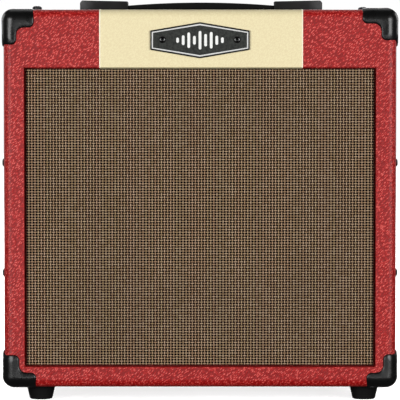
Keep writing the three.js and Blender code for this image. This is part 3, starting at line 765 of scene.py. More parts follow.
SPLIT = strap_high[0]
piece("strap_middle", strap_shape(-SPLIT, SPLIT, 24), rubber, "handle",
      stands_for=["handle_strap"], sharp=60)
for side, hand in HANDS.items():
    ends = sorted((side * SPLIT, side * (cap_x1 - 8)))
    end = piece(f"strap_{hand}", strap_shape(*ends, 30), rubber, None,
                stands_for=[f"handle_strap_end_{hand}"], sharp=60)
    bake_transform(end)


# ---------------------------------------------------------------- badge
def hexagon(half, tip, side):
    return [(-half, -side), (0, -tip), (half, -side), (half, side), (0, tip), (-half, side)]


def ring_prism(outer, inner, low, high):
    """A closed frame between two outlines of as many points, through a thickness along Y."""
    count = len(outer)
    points = [(a, c, b) for c in (low, high) for loop in (outer, inner) for a, b in loop]
    faces = []
    for i in range(count):
        j = (i + 1) % count
        faces.append([i, j, j + count, i + count])
        faces.append([i + 2 * count, i + 3 * count, j + 3 * count, j + 2 * count])
        faces.append([i, i + 2 * count, j + 2 * count, j])
        faces.append([i + count, j + count, j + 3 * count, i + 3 * count])
    return np.array(points, float), faces


(_, face_y, _), (_, badge_back, _) = box_of("badge_plate")
badge_z = middle_of("badge_plate")[2]
plate_shape = prism(hexagon(48, 17.4, 9.3), face_y, badge_back, "y")
piece("badge_base", shift(plate_shape, z=badge_z), gloss_black,
      stands_for=["badge_plate"], bevel=0.6)
border = ring_prism(hexagon(46.5, 15.8, 8.0), hexagon(45.3, 14.4, 7.1), face_y - 0.45, face_y + 0.3)
piece("badge_border", shift(border, z=badge_z), print_silver, bevel=0.12, segments=2)
field = prism(hexagon(44.9, 14.1, 6.9), face_y - 0.12, face_y + 0.3, "y")
piece("badge_field", shift(field, z=badge_z), badge_field, bevel=0.1, segments=1)
BAR_HEIGHTS = (5.0, 9.5, 15.0, 8.5, 18.0, 12.0, 16.0, 9.0, 5.5)
BAR_PITCH = 5.4
bars = []
for i, tall in enumerate(BAR_HEIGHTS):
    half = 1.35
    x, reach = (i - 4) * BAR_PITCH, tall / 2 - half
    outline = arc(x, reach, half, 0, 180, 8) + arc(x, -reach, half, 180, 360, 8)
    bars.append(prism(outline, face_y - 0.55, face_y, "y"))
piece("badge_bars", shift(merge(*bars), z=badge_z), print_white, bevel=0.2, segments=2)
badge_screws = [aim(screw_head(3.2, 1.9), (0, -1, 0), x, face_y - 0.1, badge_z + 0.4)
                for x in (-36.2, 35.8)]
piece("badge_screws", merge(*badge_screws), wet_black, sharp=30)


# ---------------------------------------------------------------- grille cloth
THREADS = (113, 110)  # upright threads across the grille, and level threads up it


def wrapped(length, half, turn):
    """Where cloth at this distance from its middle lies: along the face, and back from it."""
    flat = half - turn
    size, side = np.abs(length), np.sign(length)
    angle = np.clip((size - flat) / turn, 0, math.pi / 2)
    past = np.maximum(size - flat - turn * math.pi / 2, 0)
    along = np.minimum(size, flat) + turn * np.sin(angle)
    back = turn * (1 - np.cos(angle)) + past
    return side * along, back, angle


def cloth_shape():
    """The cloth's mesh, the pitch of its threads, and the size it is cut to."""
    low, high = box_of("grille_cloth")
    half_x, half_z = high[0] - 0.25, (high[2] - low[2]) / 2 - 0.25
    turn, tail = 1.6, 7.0  # the bend round the board's edge, and what is left behind it
    fine = 4  # steps of the mesh across each thread
    pitch_x, pitch_z = 2 * half_x / THREADS[0], 2 * half_z / THREADS[1]
    reach_x = half_x - turn + turn * math.pi / 2 + tail
    reach_z = half_z - turn + turn * math.pi / 2 + tail
    u = np.arange(-round(reach_x / pitch_x * fine), round(reach_x / pitch_x * fine) + 1) / fine
    v = np.arange(-round(reach_z / pitch_z * fine), round(reach_z / pitch_z * fine) + 1) / fine
    uu, vv = np.meshgrid(u, v, indexing="ij")
    # the height of each family of threads: rounded across, and waving over and under along
    sign = np.where((np.floor(uu) + np.floor(vv)) % 2 == 0, 1.0, -1.0)
    round_u, round_v = np.abs(np.sin(np.pi * uu)), np.abs(np.sin(np.pi * vv))
    upright = 0.34 * round_u**0.7 + 0.26 * sign * round_v
    level = 0.34 * round_v**0.7 - 0.26 * sign * round_u
    height = np.maximum(upright, level)
    x, back_x, turn_x = wrapped(uu * pitch_x, half_x, turn)
    z, back_z, turn_z = wrapped(vv * pitch_z, half_z, turn)
    y = low[1] + 0.55 + np.maximum(back_x, back_z) - height * np.cos(np.maximum(turn_x, turn_z))
    points = np.stack([x, y, z + (low[2] + high[2]) / 2], -1).reshape(-1, 3)
    rows, columns = len(u), len(v)
    index = np.arange(rows * columns).reshape(rows, columns)
    faces = np.stack([index[:-1, :-1], index[1:, :-1], index[1:, 1:], index[:-1, 1:]], -1).reshape(-1, 4)
    cut = (2 * reach_x * MM, 2 * reach_z * MM)
    return (points, faces.tolist()), (pitch_x, pitch_z), cut


def cloth_look(pitch_x, pitch_z, middle_z):
    """Tan and brown threads with painted shade on their flanks, and the holes where four of them meet
    painted near black as painted shade.
    """
    look = Look("grille_cloth_weave", Roughness=0.85, Specular_IOR_Level=0.12)
    parts = look.nodes.new("ShaderNodeSeparateXYZ")
    look.links.new(look.place, parts.inputs[0])
    u = look.math("DIVIDE", parts.outputs["X"], pitch_x * MM)
    v = look.math("DIVIDE", look.math("SUBTRACT", parts.outputs["Z"], middle_z * MM), pitch_z * MM)

    def humps(t):
        return look.math("ABSOLUTE", look.math("SINE", look.math("MULTIPLY", t, math.pi)))

    hump_u, hump_v = humps(u), humps(v)
    solid = look.math("MAXIMUM", hump_u, hump_v)
    floor_u, floor_v = look.math("FLOOR", u), look.math("FLOOR", v)
    check = look.math("MODULO", look.math("ADD", look.math("ADD", floor_u, floor_v), 1000.0), 2.0)
    crown = look.mix(check, hump_v, hump_u)
    spun = look.noise(0.5, 3, 0.7)
    each = look.node("CombineXYZ", 0, {"X": floor_u, "Y": floor_v, "Z": check})
    dye = look.node("TexWhiteNoise", "Value", {"Vector": each}, noise_dimensions="3D")
    broad = look.noise(60, 2)
    warp = look.node("TexWhiteNoise", "Value", {"W": floor_u}, noise_dimensions="1D")
    tans = (0.33, 0.216, 0.120), (0.43, 0.297, 0.180), (0.54, 0.396, 0.266)
    hues = (0.44, 0.27, 0.18), (0.42, 0.30, 0.18), (0.38, 0.31, 0.15)
    thread = look.ramp(dye, *zip((0.0, 0.5, 1.0), tans))
    hue = look.ramp(warp, *zip((0.0, 0.5, 1.0), hues))
    thread = look.mix(0.30, thread, hue)
    thread = look.mix(look.ramp(spun, (0.35, 0.30), (0.6, 0.0)), thread, (0.10, 0.055, 0.03))
    # painted shade: each thread darkens from its crown towards its flanks
    flank_shaded_threads = look.mix(look.ramp(crown, (0.55, 0.92), (0.97, 0.0)), thread, (0.065, 0.024, 0.007))
    aged = look.mix(look.ramp(broad, (0.4, 0.0), (0.7, 0.10)), flank_shaded_threads, (0.10, 0.06, 0.03))
    # painted shade: the holes where four threads meet are painted near black, for the shaded board behind
    # them
    tint = look.mix(look.ramp(solid, (0.87, 0.0), (0.96, 1.0)), (0.003, 0.0008, 0.0004), aged)
    return look.finish(tint, None, look.relief(spun, 0.10, 0.8))


woven, cloth_pitch, cloth_cut = cloth_shape()
weave = cloth_look(*cloth_pitch, middle_of("grille_cloth")[2])
cloth = piece("grille_weave", woven, weave, stands_for=["grille_cloth"], sharp=180)

# ---------------------------------------------------------------- speaker
MOUNTING_Y = box_of("speaker_basket")[0][1]


def deep(*profile):
    """A profile given as (radius, depth behind the speaker's mounting face)."""
    return [(radius, MOUNTING_Y + depth) for radius, depth in profile]


basket_profile = deep(
    (103, 0), (103, 1.2), (102.6, 1.6), (95.6, 1.6), (94.2, 2.2), (93.6, 3.2), (93.5, 9.4), (92.8, 10.8),
    (61.2, 35.2), (60.2, 36.4), (60, 40), (59.4, 40.6), (46.5, 40.6), (45.4, 41.2), (41.4, 50.4),
    (41, 52), (41, 53.7), (16, 53.7), (16, 52), (39.5, 52), (39.5, 50.5), (44.6, 38.9), (58.4, 38.9),
    (58.4, 35.2), (91.9, 9.2), (91.9, 0),
)
windows = []
for quarter in range(4):
    outline = arc(0, 0, 62.5, 12 + 90 * quarter, 78 + 90 * quarter, 12)
    outline += arc(0, 0, 89.5, 78 + 90 * quarter, 12 + 90 * quarter, 14)
    windows.append(shift(prism(outline, MOUNTING_Y + 5, MOUNTING_Y + 45, "y"), z=SPEAKER_Z))
piece("basket", about_speaker(basket_profile), powder_coat,
      stands_for=["speaker_basket"], cutters=windows, sharp=35)
bolts, nuts = [], []
for turn in range(8):
    angle = math.radians(22.5 + 45 * turn)
    x, z = 97.8 * math.cos(angle), 97.8 * math.sin(angle) + SPEAKER_Z
    nut = prism(six_sided(4.0), 0, 3.2)
    nuts.append(aim(nut, (0, 1, 0), x, MOUNTING_Y + 1.7, z))
    bolt = lathe([(0, 0), (2, 0), (2, 6.4), (1.6, 7), (0, 7)], 16)
    bolts.append(aim(bolt, (0, 1, 0), x, MOUNTING_Y + 1.7, z))
piece("basket_nuts", merge(*nuts), zinc, bevel=0.25, segments=2)
piece("basket_bolts", merge(*bolts), zinc)

top_plate = deep((15.2, 54), (40.2, 54), (41, 54.6), (41, 59.4), (40.2, 60), (15.2, 60))
piece("top_plate", about_speaker(top_plate), zinc, stands_for=["speaker_top_plate"])
magnet = deep((20, 60.3), (43.2, 60.3), (45, 61.8), (45, 73.4), (43.2, 75), (20, 75))
piece("magnet", about_speaker(magnet), ferrite, stands_for=["speaker_magnet"])
yoke = lathe([(0, 54), (11.6, 54), (11.6, 75.3), (40, 75.3), (41.5, 76.8), (41.5, 80), (40.2, 81.3),
              (10, 81.3), (9, 80.6), (7.5, 79.4), (0, 79.4)], 96)
piece("yoke", aim(yoke, (0, 1, 0), 0, MOUNTING_Y, SPEAKER_Z), zinc,
      stands_for=["speaker_yoke"])


NECK, CONE_REACH, CONE_WALL = 14, 66, 1.1  # the neck's radius, the cone's width beyond it, its thickness


def cone_depth(radius):
    """Depth of the cone's back at a radius; its wall swells a little between neck and edge."""
    share = (radius - NECK) / CONE_REACH
    return 38 - 36 * share - 1.2 * math.sin(math.pi * share)


ribs = [NECK + CONE_REACH * i / 44 for i in range(45)]
ripple = [0.25 * math.sin(i * math.pi / 2) if 8 < i < 40 else 0.0 for i in range(45)]
cone_back = [(r, cone_depth(r) + w) for r, w in zip(ribs, ripple)]
cone_profile = cone_back + [(r, depth - CONE_WALL) for r, depth in reversed(cone_back)]
piece("cone_body", about_speaker(deep(*cone_profile)), cone_paper, "cone",
      stands_for=["speaker_cone"], sharp=60)
cap_edge = cone_depth(20) - 1.4
dome = [(20 * i / 12, cap_edge - 8.2 * (1 - (i / 12) ** 2)) for i in range(13)]
cap_profile = [(r, d + 0.8) for r, d in dome] + [(r, d) for r, d in reversed(dome)]
cap_shell = aim(lathe(cap_profile, 96), (0, 1, 0), 0, MOUNTING_Y, SPEAKER_Z)
piece("dust_cap", cap_shell, cone_paper, "cone", stands_for=["speaker_dust_cap"], sharp=60)
former = deep((12.7, 37), (13.5, 37), (13.5, 48), (13.9, 48), (13.9, 63), (12.7, 63))
piece("coil_former", about_speaker(former, 48), coil_paper, "cone",
      stands_for=["voice_coil"])


def pleated(inner, outer, at_inner, at_outer, waves, rise, thick):
    count = waves * 8
    line = []
    for i in range(count + 1):
        share = i / count
        ease = min(1.0, 8 * share, 8 * (1 - share))
        wave = rise * ease * math.sin(2 * math.pi * waves * share)
        line.append((inner + (outer - inner) * share, at_inner + (at_outer - at_inner) * share + wave))
    return line + [(r, d - thick) for r, d in reversed(line)]


def flexible(name, profile, finish, node):
    """A ring whose inner edge meets the cone and whose outer edge meets the basket, made as a piece on no
    body with its place baked into its points.
    """
    ring = piece(name, about_speaker(profile), finish, None, stands_for=[node], sharp=180)
    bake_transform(ring)


# The surround's inner edge is glued over the cone's rim, so no light comes between them.
flexible("surround", deep(*pleated(79.4, 91.7, 0.95, 0.9, 3, 0.6, 0.5)), cone_paper,
         "cone_surround")
flexible("spider", deep(*pleated(14.2, 52, 39.4, 37.2, 6, 0.8, 0.4)), spider_cloth,
         "cone_spider")

# ---------------------------------------------------------------- speaker lead and its terminals
route = [(60, 13.7, 312), (60, 8, 311.5), (61, 0, 307), (63, -10, 296), (64, -18, 282), (64, -24, 266),
         (63, -28, 252), (61, -30, 238), (58.5, -34, 226)]
centre_line = smooth_path(route, 12)
for phase, finish, label in ((0.0, lead_red, "red"), (math.pi, satin_black, "black")):
    strand = []
    for i, point in enumerate(centre_line):
        along = (centre_line[min(i + 1, len(centre_line) - 1)] - centre_line[max(i - 1, 0)]).normalized()
        side = along.cross(Vector((1, 0, 0))).normalized()
        turn = phase + i * 0.42
        strand.append(point + (side * math.cos(turn) + along.cross(side) * math.sin(turn)) * 1.0)
    piece(f"lead_{label}", tube(strand, 0.95, 10), finish, sharp=70,
          stands_for=["speaker_lead"] if label == "red" else [])
terminal = block((52, -37.5, 219), (66, -35.2, 229))
lugs = merge(*[block((x, -35.4, 223), (x + 3, -32.6, 227)) for x in (54, 60)])
piece("lead_terminal", terminal, coil_paper, bevel=0.4, segments=2)
piece("lead_lugs", lugs, nickel, bevel=0.3, segments=2)

# ---------------------------------------------------------------- control panel
KNOBS = ["clean_volume", "gain", "drive_volume", "bass", "middle", "treble", "reverb"]
KNOB_HEIGHT = 14.5


def knob_shape(base):
    """A pointer knob with a fluted skirt; its pointer looks towards +Y."""
    flutes = 40
    steps = flutes * 4
    outline = []
    for i in range(steps):
        angle = 2 * math.pi * i / steps
        radius = 9.35 + 0.22 * math.cos(flutes * angle)
        outline.append((radius * math.cos(angle), radius * math.sin(angle)))
    skirt = prism(outline, base, base + 3.0)
    pointer = arc(0, 0, 8.3, 140, 400, 26)
    pointer += arc(1.2, 11.0, 0.9, 30, 90, 3) + arc(-1.2, 11.0, 0.9, 90, 150, 3)
    sizes = (1.0, 2.6), (0.985, 6.0), (0.965, 12.6), (0.945, 13.7), (0.90, 14.3), (0.84, KNOB_HEIGHT)
    rows = [[(a * size, b * size, base + z) for a, b in pointer] for size, z in sizes]
    return merge(skirt, loft(rows))


knob_base = box_of("knob_gain")[0][2]
knob_top = knob_base + KNOB_HEIGHT
for name in KNOBS:
    body = f"knob_{name}"
    x = middle_of(body)[0]
    piece(f"{name}_knob", shift(knob_shape(knob_base), x, CONTROL_Y), knob_black, body,
          stands_for=[body], sharp=50)
    line = block((x - 0.5, CONTROL_Y + 1.5, knob_top - 0.2), (x + 0.5, CONTROL_Y + 9.6, knob_top + 0.12))
    drop = prism([(CONTROL_Y + 9.4, knob_top - 0.6), (CONTROL_Y + 9.9, knob_top + 0.1),
                  (CONTROL_Y + 11.9, knob_base + 4.0), (CONTROL_Y + 11.2, knob_base + 4.0)],
                 x - 0.5, x + 0.5, "x")
    piece(f"{name}_pointer_line", merge(line, drop), print_white, body,
          bevel=0.08, segments=1)


def digits(text, size, x, y):
    """Raised print of a number, centred on a place on the panel."""
    curve = bpy.data.curves.new("number", "FONT")
    curve.body, curve.size = text, size
    curve.align_x, curve.align_y = "CENTER", "CENTER"
    curve.resolution_u = 2
    obj = bpy.data.objects.new("number", curve)
    scene.collection.objects.link(obj)
    bpy.context.view_layer.update()
    mesh = bpy.data.meshes.new_from_object(obj.evaluated_get(bpy.context.evaluated_depsgraph_get()))
    points = np.array([vertex.co for vertex in mesh.vertices], float)
    faces = [list(polygon.vertices) for polygon in mesh.polygons]
    bpy.data.objects.remove(obj)
    bpy.data.meshes.remove(mesh)
    return points + (x, y, PANEL_Z + 0.06), faces


def scale_round(x):
    """Eleven ticks round a knob, with a number at the first, the middle and the last."""
    marks = []
    for i in range(11):
        angle = math.radians(-150 + 30 * i)
        across, along = (math.cos(angle), -math.sin(angle)), (math.sin(angle), math.cos(angle))
        inner, outer, half = 11.0, 13.0 if i % 5 == 0 else 12.4, 0.28
        corners = [(x + r * along[0] + s * across[0], CONTROL_Y + r * along[1] + s * across[1])
                   for r, s in ((inner, -half), (outer, -half), (outer, half), (inner, half))]
        marks.append(prism(corners, PANEL_Z - 0.02, PANEL_Z + 0.06))
        if i % 5 == 0:
            marks.append(digits(str(i), 3.4, x + 15.4 * along[0], CONTROL_Y + 15.4 * along[1]))
    return marks


printing = [mark for name in KNOBS for mark in scale_round(middle_of(f"knob_{name}")[0])]
for y in (BAY_FRONT + 2.6, BAY_BACK - 3.0):
    printing.append(block((-146, y, PANEL_Z - 0.02), (146, y + 0.5, PANEL_Z + 0.05)))
piece("panel_print", merge(*printing), print_black, sharp=30)
panel_screws = [shift(SMALL_HEAD, x, y, PANEL_Z)
                for x in (-144, 144) for y in (BAY_FRONT + 7.2, BAY_BACK - 7.2)]
piece("panel_screws", merge(*panel_screws), nickel, sharp=30)


def on_panel(profile, x, sides=40, closed=False):
    """A profile of (radius, height over the panel), turned and set in the row of controls."""
    return shift(lathe(profile, sides, closed), x, CONTROL_Y, PANEL_Z)


def jack_parts(x, sleeve, bore, nut, top):
    """The threaded sleeve, nut and washer of a socket; its top is a height over the panel."""
    thread = 0.6
    ridges = []
    for z in np.arange(-4, top - thread, thread):
        ridges += [(sleeve, z), (sleeve - 0.25, z + thread / 2)]
    tube_profile = [(bore, -26), (sleeve, -26), *ridges,
                    (sleeve - 0.1, top - 0.3), (sleeve - 0.4, top), (bore + 0.3, top), (bore, top - 0.4)]
    hexagonal = shift(prism(six_sided(nut), 0.7, 2.6), x, CONTROL_Y, PANEL_Z)
    flat = [(sleeve, 0), (nut + 0.7, 0), (nut + 0.7, 0.5), (nut + 0.4, 0.7), (sleeve, 0.7)]
    return on_panel(tube_profile, x, closed=True), hexagonal, on_panel(flat, x, closed=True)


for node, sleeve, bore, nut in (("input_jack", 4.8, 3.4, 7.0), ("phones_jack", 4.8, 3.4, 7.0),
                                ("aux_jack", 3.0, 1.8, 4.6)):
    low, high = box_of(node)
    x = middle_of(node)[0]
    collar, hexagonal, flat_ring = jack_parts(x, sleeve, bore, nut, high[2] - PANEL_Z)
    half = (high[0] - low[0]) / 2
    housing = block((x - half, CONTROL_Y - half, low[2]), (x + half, CONTROL_Y + half, PANEL_Z - 3.4))
    foot = low[2] + 2 - PANEL_Z
    bored = on_panel([(0, foot), (bore, foot), (bore, 0), (0, 0)], x, 24)
    piece(f"{node}_housing", housing, satin_black, bevel=0.6, stands_for=[node],
          cutters=[bored])
    piece(f"{node}_sleeve", collar, nickel, sharp=30)
    clear = on_panel([(0, 0), (sleeve - 0.1, 0), (sleeve - 0.1, 5), (0, 5)], x, 32)
    piece(f"{node}_nut", hexagonal, nickel, bevel=0.3, segments=2,
          cutters=[clear])
    piece(f"{node}_washer", flat_ring, nickel, sharp=30)

# power switch: a bezel, and a rocker with the usual line and ring
low, high = box_of("power_switch_body")
switch_x = middle_of("power_switch_body")[0]
bezel = block((low[0], low[1], PANEL_Z), high)
well = block((switch_x - 4.6, CONTROL_Y - 8.2, PANEL_Z - 12),
             (switch_x + 4.6, CONTROL_Y + 8.2, high[2] + 2))
housing = block((low[0] + 1.1, low[1] + 1.6, low[2]), (high[0] - 1.1, high[1] - 1.6, PANEL_Z + 0.2))
piece("switch_bezel", bezel, satin_black, bevel=0.5, cutters=[well],
      stands_for=["power_switch_body"])
piece("switch_housing", housing, satin_black, bevel=0.4, segments=2, cutters=[well])
pivot_z = PANEL_Z + 2.2
tip = math.radians(10)
DISH, ROCKER_HALF = 1.8, 6.9  # how deep the rocker's top dips in its middle, and half its length


def tipped(outline):
    """Points of a rocker's profile about its pivot, turned to its off position."""
    c, s = math.cos(tip), math.sin(tip)
    return [(CONTROL_Y + a * c + b * s, pivot_z + b * c - a * s) for a, b in outline]


def dished(across):
    """Height of the rocker's top over its pivot."""
    return -0.4 + DISH * (abs(across) / ROCKER_HALF) ** 1.4


crest = [(across, dished(across)) for across in np.linspace(-ROCKER_HALF, ROCKER_HALF, 13)]
rocker_outline = crest + [(5.9, -2.4)] + arc(0, -1, 4, -30, -150, 8) + [(-5.9, -2.4)]
piece("rocker", prism(tipped(rocker_outline), switch_x - 4.2, switch_x + 4.2, "x"), knob_black,
      "rocker", stands_for=["power_rocker"], bevel=0.35, segments=2)


def on_rocker(shape, across):
    """Lays a flat mark on the rocker's front or back half."""
    slant = math.atan2(math.copysign(DISH, across), ROCKER_HALF) - tip
    turned = transform(shape, Matrix.Rotation(slant, 3, "X"))
    [(y, z)] = tipped([(across, dished(across) + 0.12)])
    return shift(turned, switch_x, y, z)


mark_on = on_rocker(block((-0.3, -1.5, -0.1), (0.3, 1.5, 0.06)), -4.0)
mark_off = on_rocker(lathe([(1.1, -0.1), (1.6, -0.1), (1.6, 0.06), (1.1, 0.06)], 24, closed=True), 4.0)
piece("rocker_marks", merge(mark_on, mark_off), print_white, "rocker", sharp=30)

low, high = box_of("channel_button")
button_x = middle_of("channel_button")[0]
button = lathe([(0, low[2]), (4.4, low[2]), (4.4, low[2] + 6), (3.1, low[2] + 6), (3.1, high[2] - 0.7),
                (2.9, high[2] - 0.25), (2.5, high[2]), (0, high[2] - 0.25)], 40)
piece("button", shift(button, button_x, CONTROL_Y), knob_black, "button",
      stands_for=["channel_button"], sharp=40)
collar = [(3.7, 0), (5.4, 0), (5.4, 0.5), (5.0, 0.9), (4.0, 0.9), (3.7, 0.6)]
piece("button_collar", on_panel(collar, button_x, closed=True), nickel, sharp=40)

lamp_x, lamp_low = middle_of("power_lamp")[0], box_of("power_lamp")[0][2] - PANEL_Z
lamp_collar = [(3.3, 0), (4.9, 0), (4.9, 0.8), (4.5, 1.6), (3.9, 1.9), (3.3, 1.6)]
jewel = [(0, lamp_low), (2.9, lamp_low), (2.9, 0.8), (3.7, 1.4), (3.9, 2.2), (3.2, 3.6), (1.9, 4.5),
         (0, 4.8)]
piece("lamp_jewel", on_panel(jewel, lamp_x, 10), jewel_red, stands_for=["power_lamp"],
      sharp=8)
piece("lamp_collar", on_panel(lamp_collar, lamp_x, closed=True), nickel, sharp=40)

# ---------------------------------------------------------------- circuit board
board_low = TOP - 45.0
board_high = board_low + 1.6
low, high = box_of("circuit_board")
inlet_x = middle_of("mains_inlet")[0]
board = block((low[0], low[1], board_low), (high[0], high[1], board_high))
notch = block((inlet_x - 15, high[1] - 14, board_low - 1), (inlet_x + 16, high[1] + 2, board_high + 1))
piece("circuit_sheet", board, board_green, stands_for=["circuit_board"],
      cutters=[notch])
pots, shafts = [], []
can_low = board_high - PANEL_Z
for name in KNOBS:
    x = middle_of(f"knob_{name}")[0]
    pots.append(on_panel([(0, can_low), (8, can_low), (8, -5.6), (7.6, -5), (0, -5)], x, 32))
    shafts.append(on_panel([(0, -5), (3, -5), (3, 10.6), (2.7, 11), (0, 11)], x, 24))
piece("potentiometers", merge(*pots), zinc, sharp=40)
piece("potentiometer_shafts", merge(*shafts), nickel, sharp=40)
capacitors = []
for x in (-30, -8, 14):
    can = lathe([(0, board_low - 22), (6.4, board_low - 22), (7.6, board_low - 21.4), (8, board_low - 20.4),
                 (8, board_low - 2.6), (7.5, board_low - 2), (8, board_low - 1.4), (8, board_low),
                 (0, board_low)], 32)
    capacitors.append(shift(can, x, high[1] - 10))
piece("capacitors", merge(*capacitors), sleeve_blue, sharp=40)
fins = [block((30 + i * 5, high[1] - 20, board_low - 20), (32.2 + i * 5, high[1] - 4, board_low - 2))
        for i in range(9)]
fins.append(block((30, high[1] - 20, board_low - 3.5), (74.8, high[1] - 4, board_low)))
piece("heat_sink", merge(*fins), aluminium, bevel=0.2, segments=1)
button_block = block((button_x - 5, CONTROL_Y - 5, board_high - 0.2),
                     (button_x + 5, CONTROL_Y + 5, PANEL_Z - 17.5))
piece("button_switch", button_block, satin_black, bevel=0.4, segments=2)

# ---------------------------------------------------------------- mains inlet and fuse drawer
low, high = box_of("mains_inlet")
inlet_z = middle_of("mains_inlet")[2]
rear = high[1]
rear_wall = rear - 3.2
socket_outline = [(-12, -12), (-9, -15), (9, -15), (12, -12), (12, 1.5), (-12, 1.5)]
socket = shift(prism(socket_outline, rear - 18.2, rear + 3, "y"), inlet_x, 0, inlet_z)
drawer_slot = block((inlet_x - 11, rear - 25.2, inlet_z + 4.5), (inlet_x + 11, rear + 3, inlet_z + 14))
inlet_flange = block((low[0], rear_wall + 0.3, low[2]), (high[0], rear, high[2]))
piece("inlet_flange", inlet_flange, satin_black, bevel=0.8, cutters=[socket, drawer_slot],
      stands_for=["mains_inlet"])
inlet_shell = block((inlet_x - 13.6, rear - 27.2, inlet_z - 17),
                    (inlet_x + 13.6, rear - 2, inlet_z + 17))
piece("inlet_shell", inlet_shell, satin_black, cutters=[socket, drawer_slot])
pin = block((inlet_x - 1, rear - 19, inlet_z - 2), (inlet_x + 1, rear - 4.2, inlet_z + 2))
pins = [shift(pin, x=dx, z=dz) for dx, dz in ((-7, -9), (7, -9), (0, -5))]
piece("inlet_pins", merge(*pins), nickel, bevel=0.5, segments=2)
drawer = merge(
    block((inlet_x - 10.5, rear - 24.2, inlet_z + 5), (inlet_x + 10.5, rear, inlet_z + 13.5)),
    block((inlet_x - 8, rear - 0.2, inlet_z + 5), (inlet_x + 8, rear + 1.2, inlet_z + 7)),
)
piece("drawer", drawer, gloss_black, "drawer", stands_for=["fuse_drawer"], bevel=0.4)
inlet_screws = [aim(SMALL_HEAD, (0, 1, 0), inlet_x + dx, rear_wall, inlet_z) for dx in (-21.0, 21.0)]

# ---------------------------------------------------------------- back panels
SCREW_ROWS = {"back_panel_upper": (8.0, 57.0), "back_panel_lower": (9.0, 112.0)}
panel_heads, panel_cups = [], []
cup = lathe([(2.2, 0), (6.2, 0), (6.2, 0.35), (4.6, 1.5), (2.6, 1.1), (2.2, 0.6)], 36, closed=True)
for name, rows in SCREW_ROWS.items():
    low, high = box_of(name)
    piece(f"{name}_board", block(low, high), satin_black, bevel=1.2, stands_for=[name])
    for x in (low[0] + 8, low[0] / 3, high[0] / 3, high[0] - 8):
        for z in rows:
            panel_cups.append(aim(cup, (0, 1, 0), x, high[1], low[2] + z))
            panel_heads.append(aim(SMALL_HEAD, (0, 1, 0), x, high[1] + 0.9, low[2] + z))
for x in (-160, -80, 0, 80, 160):
    for z in (PANEL_Z - 8, PANEL_Z - 50):
        if not (abs(x - inlet_x) < 30 and abs(z - inlet_z) < 22):
            panel_heads.append(aim(SMALL_HEAD, (0, 1, 0), x, rear_wall, z))
piece("back_screws", merge(*panel_heads, *inlet_screws), zinc, sharp=30)
piece("back_screw_cups", merge(*panel_cups), nickel, sharp=30)

# ---------------------------------------------------------------- transformer's screws
core_x, core_y, _ = middle_of("transformer_core")
core_low = box_of("transformer_core")[0][2]
core_screws = [shift(SMALL_HEAD, core_x + dx, core_y, core_low + 2.5) for dx in (-35, 35)]
piece("transformer_screws", merge(*core_screws), zinc, sharp=30)

# ---------------------------------------------------------------- finishes of the CAD pieces that stay
KEPT = {f"board_{which}": board_wood for which in ("left", "right", "top", "bottom", "fascia")}
KEPT.update(baffle_board=black_paint, chassis=powder_coat, control_panel=panel_cream,
            transformer_core=zinc, transformer_winding=copper_tape)
for name, finish in KEPT.items():
    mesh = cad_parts[name].data
    mesh.materials.clear()
    mesh.materials.append(finish)
    for polygon in mesh.polygons:
        polygon.use_smooth = False

# ---------------------------------------------------------------- camera
camera = bpy.data.objects.new("camera", bpy.data.cameras.new("camera"))
scene.collection.objects.link(camera)
scene.camera = camera
DISTANCE = 3000.0  # from the camera to the cabinet's front face
EYE_HEIGHT = 360.0
LOOKS_DOWN = 3.126  # degrees
camera.data.sensor_width = 36.0
camera.data.lens = 279.6
camera.data.clip_start, camera.data.clip_end = 0.1, 50.0
camera.location = Vector((0.0, FRONT - DISTANCE, EYE_HEIGHT)) * MM
camera.rotation_euler = (math.radians(90 - LOOKS_DOWN), 0, 0)


# ---------------------------------------------------------------- floor and light
def floor_look():
    look = Look("pale_floor", Roughness=0.7)
    patches = look.noise(220, 3)
    tint = look.ramp(patches, (0.3, (0.90, 0.90, 0.90)), (0.7, (0.94, 0.94, 0.94)))
    return look.finish(tint)


floor = bare_object("floor", block((-6000, -6000, -20), (6000, 6000, 0)))
floor.data.materials.append(floor_look())
floor.visible_diffuse = False
floor.visible_glossy = False

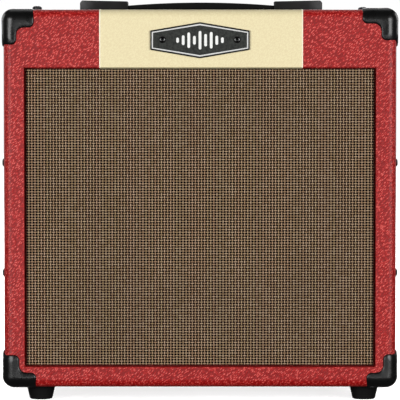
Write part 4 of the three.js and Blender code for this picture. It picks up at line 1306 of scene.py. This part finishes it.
world = bpy.data.worlds.new("studio")
scene.world = world
world.use_nodes = True
world_nodes, world_links = world.node_tree.nodes, world.node_tree.links
backdrop, soft = world_nodes["Background"], world_nodes.new("ShaderNodeBackground")
for shade, strength in ((backdrop, 1.0), (soft, 0.045)):
    shade.inputs["Color"].default_value = (1, 1, 1, 1)
    shade.inputs["Strength"].default_value = strength
seen = world_nodes.new("ShaderNodeLightPath")
choice = world_nodes.new("ShaderNodeMixShader")
world_links.new(seen.outputs["Is Camera Ray"], choice.inputs[0])
world_links.new(soft.outputs[0], choice.inputs[1])
world_links.new(backdrop.outputs[0], choice.inputs[2])
world_links.new(choice.outputs[0], world_nodes["World Output"].inputs["Surface"])


def soft_light(name, place, aim_at, size, power):
    """A rectangular studio light; place, aim and size are in metres."""
    data = bpy.data.lights.new(name, "AREA")
    data.shape, data.size, data.size_y, data.energy = "RECTANGLE", size[0], size[1], power
    obj = bpy.data.objects.new(name, data)
    scene.collection.objects.link(obj)
    obj.location = place
    obj.rotation_euler = (Vector(aim_at) - Vector(place)).to_track_quat("-Z", "Y").to_euler()


MIDDLE = (0, 0, 0.2)
soft_light("left_front", (-1.6, -2.1, 0.55), MIDDLE, (1.3, 1.1), 43)
soft_light("right_front", (1.6, -2.1, 0.55), MIDDLE, (1.3, 1.1), 44)
soft_light("low_front", (0, -1.6, 0.05), (0, 0, 0.35), (2.2, 0.14), 5)
soft_light("left_rear", (-2.2, 1.6, 1.0), MIDDLE, (0.8, 1.4), 16)
soft_light("right_rear", (2.2, 1.6, 1.0), MIDDLE, (0.8, 1.4), 16)
soft_light("top", (0, 1.0, 2.2), MIDDLE, (1.8, 1.0), 6)
soft_light("back", (0.3, 3.0, 1.1), MIDDLE, (1.8, 1.4), 30)

# A broad light on the floor alone keeps it pale as far as it can be seen.
sky = bpy.data.objects.new("floor_light", bpy.data.lights.new("floor_light", "SUN"))
scene.collection.objects.link(sky)
sky.data.energy = 4.0
sky.data.use_shadow = False
sky.data.angle = math.radians(80)
only_floor = bpy.data.collections.new("only_floor")
only_floor.objects.link(floor)
sky.light_linking.receiver_collection = only_floor
scene.view_settings.view_transform = "Standard"
